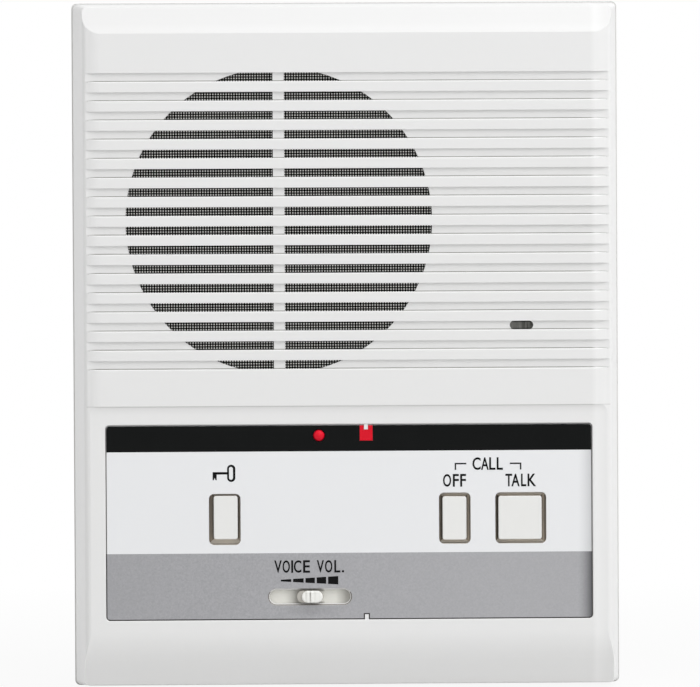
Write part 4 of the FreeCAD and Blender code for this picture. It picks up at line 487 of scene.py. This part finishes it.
def volume_knob_finish():
    """Knob plastic: painted shade on its base, in a dark middle groove and fainter ones beside it."""
    finish = Finish("knob_plastic")
    tone = finish.plastic_tone(ink(250, 250, 246), ink(247, 247, 243))
    # Painted shade in the knob's grooves
    for offset, width, groove_shade in KNOB_GROOVES:
        line = (1.3 - abs(finish.x - (KNOB_X + offset)) / width).limited()
        tone = finish.blend(line * groove_shade, tone, ink(120, 116, 110))
    # Painted shade on the knob's base
    tone = finish.blend(finish.y > KNOB_BASE, tone, ink(190, 187, 180))
    return finish.done(finish.plastic(tone, 0.34, 0.5, 0.2, 0.006))


def volume_shutter_finish():
    """Shutter plastic, with a painted shadow where it runs up to the knob and a little way off to its
    right.
    """
    finish = Finish("shutter_plastic")
    tone = finish.plastic_tone(ink(240, 240, 234), ink(236, 236, 230))
    # Painted shadow on the shutter beside the knob, and along its long sides next to it
    left = finish.past(finish.x, *SHUTTER_LEFT) * (finish.x < KNOB_X)
    right = finish.past(finish.x, *SHUTTER_RIGHT) * finish.until(finish.x, *SHUTTER_RIGHT_END)
    from_knob = abs(finish.x - KNOB_X)
    edge = (abs(finish.z - SLOT_Z) > SHUTTER_UNSHADED_HALF) * finish.until(from_knob, *SHUTTER_EDGE)
    knob_shadow = (left ** 1.7 * 0.58).larger(right * 0.5).larger(edge * 0.5)
    tone = finish.blend(knob_shadow, tone, ink(62, 54, 44))
    return finish.done(finish.plastic(tone, 0.45))


def microphone_cloth_finish():
    """Thin black cloth, paler to the left where the hole bares it, with painted shade to the right and
    along its top and foot, and threads that show.
    """
    finish = Finish("dark_cloth")
    thread = finish.noise(0.8, 2, stretch=(1, 1, 0.12), roughness=0.6)
    fibre = finish.noise(0.3, 4, roughness=0.7)
    # Painted shade towards the cloth's right
    shaded_cloth = finish.blend(finish.past(finish.x, *CLOTH_SHADE), ink(178, 177, 172), ink(78, 77, 74))
    tone = finish.blend((thread - 0.45).limited() * 2.2, shaded_cloth, ink(226, 225, 220))
    # Painted shade along the cloth's top and foot
    rim = finish.past(abs(finish.z - MICROPHONE_Z), *CLOTH_RIM)
    tone = finish.blend(rim * 0.8, tone, ink(30, 30, 29))
    return finish.done(finish.shell(
        Base_Color=tone, Roughness=0.9 - fibre * 0.1, Specular_IOR_Level=0.2, Sheen_Weight=0.2,
        Normal=finish.bump(thread + fibre, 0.03)))


def red_lens(name, deep, bright, legs_start):
    """Clear red plastic over a lamp, a little uneven, with tinned legs behind a level of Y."""
    finish = Finish(name)
    glow = finish.noise(3, 2)
    lens = finish.shell(Base_Color=finish.blend(glow, deep, bright),
                        Roughness=0.3 + (glow - 0.5) * 0.1, Specular_IOR_Level=0.15)
    return finish.done(finish.either(finish.y > legs_start, lens, finish.tinned()))


def woven_wire():
    """Square woven wire: thin threads, a painted glint at every crossing, dark between."""
    finish = Finish("mesh_wire")
    turns = 2 * math.pi / WEAVE_PITCH
    upright = ((finish.x * turns).sine() * 3 + 0.5).limited()
    level = ((finish.z * turns).sine() * 3 + 0.5).limited()
    knuckle = upright * level
    painted_light = finish.noise(4, 3)
    # A painted glint at every crossing
    bright = (upright * 0.02 + knuckle * (0.82 + painted_light * 0.3)).limited()
    return finish.done(finish.shell(
        Base_Color=finish.blend(bright, ink(6, 6, 6), ink(250, 250, 247)),
        Roughness=0.6 - knuckle * 0.15, Specular_IOR_Level=0.06))


# ---------------------------------------------------------------- finishes of the inside
def pressed_felt():
    """Grey felt, with fibres."""
    finish = Finish("felt")
    turns = 2 * math.pi / FELT_PITCH
    weave = (finish.x * turns).sine() * (finish.z * turns).sine()
    fibre = finish.noise(0.3, 4, roughness=0.7)
    tone = finish.blend((weave * 0.3 + fibre).limited(), ink(44, 44, 45), ink(78, 78, 78))
    return finish.done(finish.shell(
        Base_Color=tone, Roughness=0.9 - fibre * 0.1, Specular_IOR_Level=0.2, Sheen_Weight=0.2,
        Normal=finish.bump(weave * 0.5 + fibre, 0.05)))


def metal(name, colour, tint, rough, stretch=(1, 1, 1), grain=0.6, depth=0.008):
    """Plated or drawn metal with its grain, a little stained."""
    finish = Finish(name)
    line = finish.noise(grain, 3, stretch=stretch)
    stain = finish.noise(7, 4)
    return finish.done(finish.shell(
        Base_Color=finish.blend((stain - 0.3) * 1.2, colour, tint), Metallic=1.0,
        Roughness=rough + (line - 0.5) * 0.2 + (stain - 0.5) * 0.1, Normal=finish.bump(line, depth)))


def dull(name, dark, pale, rough, speck, depth=0.02):
    """Rubber, ferrite, paper or ceramic: matt, with specks of two tones."""
    finish = Finish(name)
    grit = finish.noise(speck, 4, roughness=0.7)
    broad = finish.noise(12, 2)
    return finish.done(finish.shell(
        Base_Color=finish.blend((grit * 0.7 + broad * 0.5 - 0.1).limited(), dark, pale),
        Roughness=rough + (grit - 0.5) * 0.16, Specular_IOR_Level=0.35, Normal=finish.bump(grit, depth)))


def cone_paper(name, dark, pale):
    """Pressed paper with fine rings about the speaker's axis."""
    finish = Finish(name)
    reach = ((finish.x - SPEAKER_X) ** 2 + (finish.z - SPEAKER_Z) ** 2) ** 0.5
    rings = (reach * (2 * math.pi / CONE_RING_PITCH)).sine()
    fibre = finish.noise(0.7, 5, roughness=0.75)
    return finish.done(finish.shell(
        Base_Color=finish.blend(fibre, dark, pale), Roughness=0.85 - fibre * 0.1,
        Specular_IOR_Level=0.2, Normal=finish.bump(rings * 0.4 + fibre, 0.08)))


def winding(name, axis, pitch, dark, pale):
    """Enamelled wire wound in neat turns along an axis."""
    finish = Finish(name)
    along = {"y": finish.y, "z": finish.z}[axis]
    turn = (along * (2 * math.pi / pitch)).sine()
    patch = finish.noise(3, 3)
    return finish.done(finish.shell(
        Base_Color=finish.blend((turn * 0.35 + patch).limited(), dark, pale), Metallic=0.6,
        Roughness=0.38 + (patch - 0.5) * 0.2, Normal=finish.bump(turn, 0.05)))


def circuit_board():
    """Laminate with copper tracks under lacquer."""
    finish = Finish("board_laminate")
    upright = finish.add("ShaderNodeMapping", {}, {
        "Vector": finish.place, "Rotation": (math.pi / 2, 0, 0)})
    grid = finish.add("ShaderNodeTexBrick", {"offset": 0.35, "squash": 0.6}, {
        "Vector": upright, "Color1": (1, 1, 1, 1), "Color2": (0.6, 0.6, 0.6, 1),
        "Mortar": (0, 0, 0, 1), "Scale": 1, "Mortar Size": 0.35, "Mortar Smooth": 0.1,
        "Brick Width": 14.1, "Row Height": 2.1})
    fibre = finish.noise(0.9, 4, stretch=(1, 1, 4))
    base = finish.blend(fibre, ink(74, 104, 56), ink(88, 116, 62))
    tone = finish.blend(grid, ink(136, 156, 84), base)
    return finish.done(finish.shell(
        Base_Color=tone, Roughness=0.4 + (fibre - 0.5) * 0.15, Normal=finish.bump(grid, 0.03)))


def with_legs(name, body, shade, legs_start, rough=0.5, legs_in_front=False):
    """A moulded part with tinned legs on one side of a level of Y."""
    finish = Finish(name)
    fine = finish.noise(0.4, 3)
    case = finish.shell(Base_Color=finish.blend(finish.noise(9, 3), body, shade),
                        Roughness=rough + (fine - 0.5) * 0.2, Normal=finish.bump(fine, 0.01))
    legs = finish.y < legs_start if legs_in_front else finish.y > legs_start
    return finish.done(finish.either(legs, case, finish.tinned()))


def chip_black():
    """Black epoxy chips: whatever stands outside a row's bodies or under them is a tinned leg."""
    finish = Finish("chip_epoxy")
    fine = finish.noise(0.3, 3)
    upper, lower = [abs(finish.z - row) < CHIP_REACH for row in CHIP_ROWS]
    body = upper.larger(lower) * (finish.y > CHIP_LEGS)
    epoxy = finish.shell(Base_Color=finish.blend(fine, ink(34, 34, 35), ink(48, 48, 50)),
                         Roughness=0.6 + (fine - 0.5) * 0.2, Normal=finish.bump(fine, 0.01))
    return finish.done(finish.either(body, finish.tinned(), epoxy))


def capacitor_sleeve():
    """Shrunk sleeve with a paler stripe, and a bare aluminium top."""
    finish = Finish("capacitor_sleeve")
    wrinkle = finish.noise(1.2, 3, stretch=(1, 0.2, 1))
    stripe = (finish.facing("X") > 0.86) * (finish.facing("X") < 0.99)
    tone = finish.blend(wrinkle, ink(30, 36, 84), ink(44, 52, 104))
    sleeve = finish.shell(Base_Color=finish.blend(stripe, tone, ink(206, 206, 198)),
                          Roughness=0.32 + (wrinkle - 0.5) * 0.2, Normal=finish.bump(wrinkle, 0.03))
    brushed = finish.noise(0.5, 3)
    top = finish.shell(Base_Color=finish.blend(brushed, ink(196, 196, 198), ink(222, 222, 224)),
                       Metallic=1.0, Roughness=0.3 + (brushed - 0.5) * 0.2,
                       Normal=finish.bump(brushed, 0.01))
    return finish.done(finish.either(finish.facing("Y") > 0.9, sleeve, top))


def resistor_bands():
    """Lacquered resistors with colour bands, on tinned wires."""
    finish = Finish("resistor_body")
    from_end = finish.x - RESISTOR_START
    blotch = finish.noise(1.2, 3)
    tone = finish.blend(blotch, ink(205, 178, 138), ink(184, 152, 112))
    bands = {0.9: ink(150, 84, 40), 2.0: ink(26, 24, 24), 3.1: ink(196, 40, 36), 4.9: ink(196, 160, 66)}
    for start, colour in bands.items():
        band = (from_end > start) * (from_end < start + BAND_WIDTH)
        tone = finish.blend(band, tone, colour)
    body = finish.shell(Base_Color=tone, Roughness=0.35 + (blotch - 0.5) * 0.2,
                        Normal=finish.bump(blotch, 0.02))
    lacquered = abs(finish.x - RESISTOR_X) < RESISTOR_REACH
    return finish.done(finish.either(lacquered, finish.tinned(), body))


def insulation(name, leads, colours):
    """Lead insulation whose colour changes from one lead to the next along X."""
    finish = Finish(name)
    scuff = finish.noise(1.1, 3)
    low, high = corners(leads)
    first = low[0] + LEAD_RADIUS
    pitch = (high[0] - LEAD_RADIUS - first) / (len(colours) - 1)
    tone = colours[0]
    for index, colour in enumerate(colours[1:], 1):
        tone = finish.blend(finish.x > first + (index - 0.5) * pitch, tone, colour)
    dusted = finish.blend((scuff - 0.45).limited() * 0.7, tone, ink(150, 146, 140))
    return finish.done(finish.shell(Base_Color=dusted, Roughness=0.42 + (scuff - 0.5) * 0.25,
                                    Normal=finish.bump(scuff, 0.02)))


case_plastic = moulded("case_plastic", ink(230, 230, 228), ink(224, 224, 221), 0.55, 0.4, 0.5, 0.02)
black_plastic = moulded("black_plastic", ink(40, 40, 41), ink(52, 52, 52), 0.45, 0.4)
black_rubber = dull("black_rubber", ink(34, 34, 34), ink(52, 52, 51), 0.7, 0.4)
pressed_steel = metal("pressed_steel", ink(190, 190, 186), ink(172, 170, 160), 0.36)
screw_steel = metal("screw_steel", ink(204, 204, 200), ink(180, 178, 168), 0.3)
switch_body = with_legs("switch_body", ink(46, 46, 47), ink(60, 60, 60), SWITCH_LEGS)

FINISHES = {
    "front_cover": grooved_cover(),
    "control_panel": printed_panel(),
    "power_lamp_window": red_lens("window_lens", ink(222, 15, 38), ink(228, 19, 43), NO_LEGS),
    "call_lamp": red_lens("lamp_lens", ink(229, 19, 44), ink(236, 25, 50), CALL_LAMP_LEGS),
    "power_lamp": with_legs("lamp_body", ink(190, 50, 50), ink(168, 38, 40), LAMP_LEGS, 0.25),
    "volume_shutter": volume_shutter_finish(),
    "volume_knob": volume_knob_finish(),
    "potentiometer_lever": pressed_steel,
    "volume_potentiometer": with_legs("potentiometer_body", ink(66, 64, 60), ink(84, 82, 76),
                                      SWITCH_LEGS),
    "microphone_cloth": microphone_cloth_finish(),
    "microphone_boot": black_rubber,
    "microphone_capsule": metal("can_aluminium", ink(206, 206, 208), ink(190, 190, 192), 0.26,
                                (1, 0.15, 1)),
    "speaker_mesh": woven_wire(),
    "speaker_gasket": pressed_felt(),
    "speaker_frame": pressed_steel,
    "speaker_surround": dull("surround_rubber", ink(34, 34, 34), ink(50, 50, 50), 0.75, 0.5),
    "speaker_cone": cone_paper("cone_paper", ink(46, 45, 44), ink(72, 70, 68)),
    "speaker_dust_cap": cone_paper("dust_cap_paper", ink(30, 30, 30), ink(48, 47, 46)),
    "speaker_voice_coil": winding("copper_winding", "y", 0.2, ink(150, 84, 50), ink(206, 132, 86)),
    "speaker_spider": cone_paper("spider_cloth", ink(176, 128, 66), ink(206, 160, 92)),
    "speaker_top_plate": pressed_steel,
    "speaker_magnet": dull("ferrite", ink(62, 62, 65), ink(86, 86, 90), 0.75, 0.5, 0.04),
    "speaker_yoke": pressed_steel,
    "speaker_terminal_strip": dull("phenolic", ink(128, 84, 46), ink(160, 108, 62), 0.5, 0.7),
    "speaker_lugs": metal("lug_brass", ink(212, 200, 160), ink(192, 176, 128), 0.32),
    "speaker_leads": insulation("speaker_lead_insulation", "speaker_leads", (
        ink(168, 30, 28), ink(34, 34, 36))),
    "speaker_clamps": screw_steel,
    "speaker_screws": screw_steel,
    "main_board": circuit_board(),
    "board_screws": screw_steel,
    "transformer_core": metal("core_lamination", ink(120, 118, 114), ink(96, 92, 86), 0.5, (1, 1, 0.04),
                              0.5, 0.03),
    "transformer_coil": winding("coil_wire", "z", 0.5, ink(170, 92, 44), ink(214, 140, 82)),
    "capacitors": capacitor_sleeve(),
    "logic_chips": chip_black(),
    "door_relay": moulded("relay_case", ink(214, 168, 92), ink(200, 152, 76), 0.3, 0.5),
    "board_header": moulded("header_nylon", ink(232, 226, 206), ink(222, 214, 190), 0.4),
    "heat_sink": metal("sink_aluminium", ink(74, 74, 77), ink(62, 62, 64), 0.42, (1, 0.1, 1)),
    "amplifier_chip": with_legs("amplifier_epoxy", ink(44, 44, 45), ink(34, 34, 35), AMPLIFIER_LEGS,
                                legs_in_front=True),
    "resistors": resistor_bands(),
    "rear_case": case_plastic,
    "case_screws": screw_steel,
    "terminal_block": moulded("terminal_moulding", ink(58, 58, 58), ink(46, 46, 46), 0.5, 0.4),
    "terminal_screws": screw_steel,
    "terminal_leads": insulation("lead_insulation", "terminal_leads", (
        ink(168, 30, 28), ink(226, 224, 216), ink(38, 62, 140), ink(34, 34, 36))),
}
for name, cap in CAPS.items():
    FINISHES[name + "_button"] = button_finish(name, *cap)
    FINISHES[name + "_plunger"] = black_plastic
    FINISHES[name + "_switch"] = switch_body

for name, material in FINISHES.items():
    mesh = nodes[name].data
    mesh.materials.clear()
    mesh.materials.append(material)


# ---------------------------------------------------------------- printing on the panel, in mm
INK_BACK = PANEL_FRONT
INK_FILM = 0.02
POINT_HEIGHT = 0.5
STROKE_GAIN = 0.018

# Each word has its foot, its head and the left and right end of its letters
WORDS = {
    "word_call": (-31.2, -28.15, (("C", 30.86, 32.83), ("A", 33.0, 34.83), ("L", 35.04, 36.52),
                                  ("L", 36.92, 38.4))),
    "word_off": (-35.36, -32.28, (("O", 23.48, 25.45), ("F", 25.95, 27.35), ("F", 27.78, 29.15))),
    "word_talk": (-35.36, -32.3, (("T", 39.08, 40.7), ("A", 40.6, 42.54), ("L", 42.98, 44.22),
                                  ("K", 44.62, 46.6))),
    "word_voice_volume": (-56.62, -53.6, (
        ("V", -18.75, -17.0), ("O", -16.72, -14.94), ("I", -14.54, -14.14), ("C", -13.9, -12.08),
        ("E", -11.56, -9.94), ("V", -8.13, -6.46), ("O", -6.13, -4.33), ("L", -3.78, -2.35),
        (".", -1.92, -1.42))),
}

# The key sign: its bow, the shaft and the notched bit
BOW_X = -29.43
BOW_Z = -31.74
BOW_WIDTH = 2.06
BOW_HEIGHT = 4.3
BOW_LINE = 0.54
BOW_HOLE_SHIFT = -0.06
SHAFT_START = -33.6
SHAFT_OVERLAP = 0.05
SHAFT_FOOT = -32.02
SHAFT_HEAD = -31.42
BIT_X = -33.57
BIT_Z = -32.43
BIT_WIDTH = 1.0
BIT_HEIGHT = 2.02
NOTCH_HEAD = -32.85

# The volume sign: the ends of its blocks, and their height at the thin and the thick end
BLOCKS = ((-17.2, -14.6), (-14.13, -11.5), (-11.05, -8.7), (-8.24, -5.87), (-5.4, -2.85))
BLOCKS_Z = -58.6
BLOCK_THIN = 0.42
BLOCK_THICK = 2.1

# The bracket: the corner and the inner end of each line, and its levels
BRACKET_LINES = ((26.56, 29.11), (42.86, 40.34))
BRACKET_HALF_LINE = 0.18
BRACKET_HEAD = -29.47
BRACKET_BEND = -29.83
BRACKET_FOOT = -31.2


def printing_ink():
    finish = Finish("printing_ink")
    blot = finish.noise(0.6, 3)
    return finish.done(finish.shell(
        Base_Color=finish.blend(blot, ink(6, 6, 7), ink(16, 16, 17)),
        Roughness=0.5 + (blot - 0.5) * 0.2, Specular_IOR_Level=0.1, Normal=finish.bump(blot, 0.004)))


black_ink = printing_ink()


def lay_on_panel(name, sheet):
    """A sheet drawn in XY in mm, one film thick from z = 0, becomes ink on the panel."""
    mesh = bpy.data.meshes.new(name)
    sheet.to_mesh(mesh)
    sheet.free()
    mesh.transform(Matrix.Scale(MM, 4) @ Matrix.Translation((0, INK_BACK, 0))
                   @ Matrix.Rotation(math.pi / 2, 4, "X"))
    mesh.materials.append(black_ink)
    piece = bpy.data.objects.new(name, mesh)
    bpy.context.scene.collection.objects.link(piece)
    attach(piece, "housing")


def letter_mesh(letter, left, right, low, high):
    """One plain built-in letter, drawn in to its box, with all its strokes thickened alike."""
    text = bpy.data.curves.new(letter, "FONT")
    text.body = letter
    text.resolution_u = 4
    sample = bpy.data.objects.new(letter, text)
    bpy.context.scene.collection.objects.link(sample)
    outline = sample.to_curve(bpy.context.evaluated_depsgraph_get()).copy()
    drawn = [vertex.co for vertex in bpy.data.meshes.new_from_object(sample).vertices]
    bpy.data.objects.remove(sample)
    first = [min(point[axis] for point in drawn) for axis in range(2)]
    last = [max(point[axis] for point in drawn) for axis in range(2)]
    outline.transform(
        Matrix.Translation(((left + right) / 2, (low + high) / 2, 0))
        @ Matrix.Diagonal(((right - left - 2 * STROKE_GAIN) / (last[0] - first[0]),
                           (high - low - 2 * STROKE_GAIN) / (last[1] - first[1]), 1, 1))
        @ Matrix.Translation((-(first[0] + last[0]) / 2, -(first[1] + last[1]) / 2, 0)))
    outline.offset = STROKE_GAIN
    outline.extrude = 0.5
    thick = bpy.data.objects.new(letter, outline)
    mesh = bpy.data.meshes.new_from_object(thick)
    bpy.data.objects.remove(thick)
    # So far one unit thick about its middle, and now one film thick from the panel outwards
    mesh.transform(Matrix.Diagonal((1, 1, INK_FILM, 1)) @ Matrix.Translation((0, 0, 0.5)))
    return mesh


def printed_word(name, low, high, letters):
    sheet = bmesh.new()
    for letter, left, right in letters:
        top = low + POINT_HEIGHT if letter == "." else high
        sheet.from_mesh(letter_mesh(letter, left, right, low, top))
    lay_on_panel(name, sheet)


def sheet_bar(sheet, left, right, low, high, taper=0.0):
    """A flat bar. Taper is how much taller it is at its right end."""
    across = (left + right) / 2
    up = (low + high) / 2
    made = bmesh.ops.create_grid(sheet, x_segments=1, y_segments=1, size=0.5, matrix=(
        Matrix.Translation((across, up, 0)) @ Matrix.Diagonal((right - left, high - low, 1, 1))))
    for vertex in made["verts"]:
        if vertex.co.x > across:
            vertex.co.y += math.copysign(taper / 2, vertex.co.y - up)


def raise_film(sheet):
    """Gives a flat sheet the thickness of the ink."""
    raised = bmesh.ops.extrude_face_region(sheet, geom=sheet.faces[:])
    tops = [part for part in raised["geom"] if isinstance(part, bmesh.types.BMVert)]
    bmesh.ops.translate(sheet, verts=tops, vec=(0, 0, INK_FILM))
    bmesh.ops.recalc_face_normals(sheet, faces=sheet.faces[:])


def key_sign():
    """A door key: an upright bow, a shaft and a bit with a notch."""
    sheet = bmesh.new()
    rim = bmesh.ops.create_circle(sheet, cap_ends=True, segments=48, radius=BOW_WIDTH / 2)["verts"]
    for vertex in rim:
        vertex.co.y += math.copysign((BOW_HEIGHT - BOW_WIDTH) / 2, vertex.co.y)
    bmesh.ops.translate(sheet, verts=rim, vec=(BOW_X, BOW_Z, 0))
    bow = sheet.faces[:]
    bmesh.ops.inset_region(sheet, faces=bow, thickness=BOW_LINE, use_boundary=True,
                           use_even_offset=True)
    hole = {vertex for face in bow for vertex in face.verts}
    bmesh.ops.translate(sheet, verts=list(hole), vec=(BOW_HOLE_SHIFT, 0, 0))
    bmesh.ops.delete(sheet, geom=bow, context="FACES")
    sheet_bar(sheet, SHAFT_START, BOW_X - BOW_WIDTH / 2 + SHAFT_OVERLAP, SHAFT_FOOT, SHAFT_HEAD)
    bit = bmesh.ops.create_grid(sheet, x_segments=4, y_segments=1, size=0.5, matrix=(
        Matrix.Translation((BIT_X, BIT_Z, 0)) @ Matrix.Diagonal((BIT_WIDTH, BIT_HEIGHT, 1, 1))))
    notch = min(bit["verts"], key=lambda vertex: abs(vertex.co.x - BIT_X) + vertex.co.y)
    notch.co.y = NOTCH_HEAD
    raise_film(sheet)
    lay_on_panel("key_sign", sheet)


def volume_sign():
    """Five blocks that grow to the right between two lines that spread."""
    sheet = bmesh.new()
    first = BLOCKS[0][0]
    last = BLOCKS[-1][1]
    grow = (BLOCK_THICK - BLOCK_THIN) / (last - first)
    for left, right in BLOCKS:
        height = BLOCK_THIN + grow * (left - first)
        sheet_bar(sheet, left, right, BLOCKS_Z - height / 2, BLOCKS_Z + height / 2,
                  grow * (right - left))
    raise_film(sheet)
    lay_on_panel("volume_sign", sheet)


def call_bracket():
    """Two cornered lines that join the word above to the words below."""
    sheet = bmesh.new()
    half = BRACKET_HALF_LINE
    for corner, end in BRACKET_LINES:
        left, right = sorted((corner, end))
        sheet_bar(sheet, left - half, right + half, BRACKET_BEND, BRACKET_HEAD)
        sheet_bar(sheet, corner - half, corner + half, BRACKET_FOOT, BRACKET_BEND)
    raise_film(sheet)
    lay_on_panel("call_bracket", sheet)


key_sign()
volume_sign()
call_bracket()
for word, (foot, head, letters) in WORDS.items():
    printed_word(word, foot, head, letters)


# ---------------------------------------------------------------- floor, light and camera
# Where the floor turns white, in mm, and half its width in m
SHADOW_END = (120, 300)
FLOOR_HALF = 3.0

# The sky's level at the horizon and overhead
SKY_LOW = 0.977
SKY_HIGH = 0.4

# The lamp: where it shines from, its distance and width in m, and its level beside the sky's
KEY_FROM = Vector((0.437, -0.434, 0.788))
KEY_AWAY = 1.5
KEY_SIZE = 1.6
KEY_LEVEL = 0.705

# The camera's place in mm, its turns in degrees and its lens in mm
CAMERA_PLACE = (-22.763, -1323.75, 20.364)
CAMERA_TO_RIGHT = 1.0343
CAMERA_DOWN = 0.8871
CAMERA_ROLL = -0.3008
LENS = 264.33


def floor_finish():
    """Pale floor, seen white by the camera away from the object, that keeps its shadow."""
    finish = Finish("floor")
    cloud = finish.noise(200, 2)
    paper = finish.add("ShaderNodeBsdfDiffuse", {}, {
        "Color": finish.blend(cloud, ink(204, 204, 203), ink(208, 208, 207))})
    glow = finish.add("ShaderNodeEmission", {}, {"Color": (1, 1, 1, 1), "Strength": 1.0})
    away = (finish.x ** 2 + finish.y ** 2) ** 0.5
    white = 0.92 + finish.past(away, *SHADOW_END) * 0.08
    return finish.done(finish.either(finish.seen() * white, paper, glow))


def lay_floor():
    sheet = bmesh.new()
    bmesh.ops.create_grid(sheet, x_segments=1, y_segments=1, size=FLOOR_HALF,
                          matrix=Matrix.Translation((0, 0, cad_box[0].z)))
    mesh = bpy.data.meshes.new("floor")
    sheet.to_mesh(mesh)
    sheet.free()
    mesh.materials.append(floor_finish())
    floor = bpy.data.objects.new("floor", mesh)
    bpy.context.scene.collection.objects.link(floor)


def sky():
    """White for the camera, and an even pale light, weaker overhead, for everything else."""
    world = bpy.data.worlds.new("studio")
    bpy.context.scene.world = world
    finish = Finish("studio", world)
    height = finish.z.limited()
    tone = finish.blend(height, (SKY_LOW, SKY_LOW, SKY_LOW, 1), (SKY_HIGH, SKY_HIGH, SKY_HIGH, 1))
    light = finish.add("ShaderNodeBackground", {}, {"Color": tone, "Strength": 1.0})
    white = finish.add("ShaderNodeBackground", {}, {"Color": (1, 1, 1, 1), "Strength": 1.0})
    finish.done(finish.either(finish.seen(), light, white), "ShaderNodeOutputWorld")


def softbox(name, towards, away, size, level):
    """A square lamp that lights the object's middle as brightly as a sky of that level."""
    lamp = bpy.data.lights.new(name, "AREA")
    lamp.shape = "SQUARE"
    lamp.size = size
    lamp.energy = level * math.pi ** 2 * away ** 2
    holder = bpy.data.objects.new(name, lamp)
    holder.location = towards.normalized() * away
    holder.rotation_euler = towards.to_track_quat("Z", "Y").to_euler()
    bpy.context.scene.collection.objects.link(holder)


def set_camera():
    """In front, a touch to the left and above, with a long lens."""
    lens = bpy.data.cameras.new("camera")
    lens.sensor_fit = "HORIZONTAL"
    lens.sensor_width = 36
    lens.lens = LENS
    lens.clip_end = 20
    camera = bpy.data.objects.new("camera", lens)
    camera.matrix_world = (
        Matrix.Translation([value * MM for value in CAMERA_PLACE])
        @ Matrix.Rotation(math.radians(-CAMERA_TO_RIGHT), 4, "Z")
        @ Matrix.Rotation(math.radians(90 - CAMERA_DOWN), 4, "X")
        @ Matrix.Rotation(math.radians(CAMERA_ROLL), 4, "Z"))
    bpy.context.scene.collection.objects.link(camera)
    bpy.context.scene.camera = camera


lay_floor()
sky()
softbox("key", KEY_FROM, KEY_AWAY, KEY_SIZE, KEY_LEVEL)
set_camera()
bpy.context.scene.view_settings.view_transform = "Standard"

bpy.context.view_layer.update()
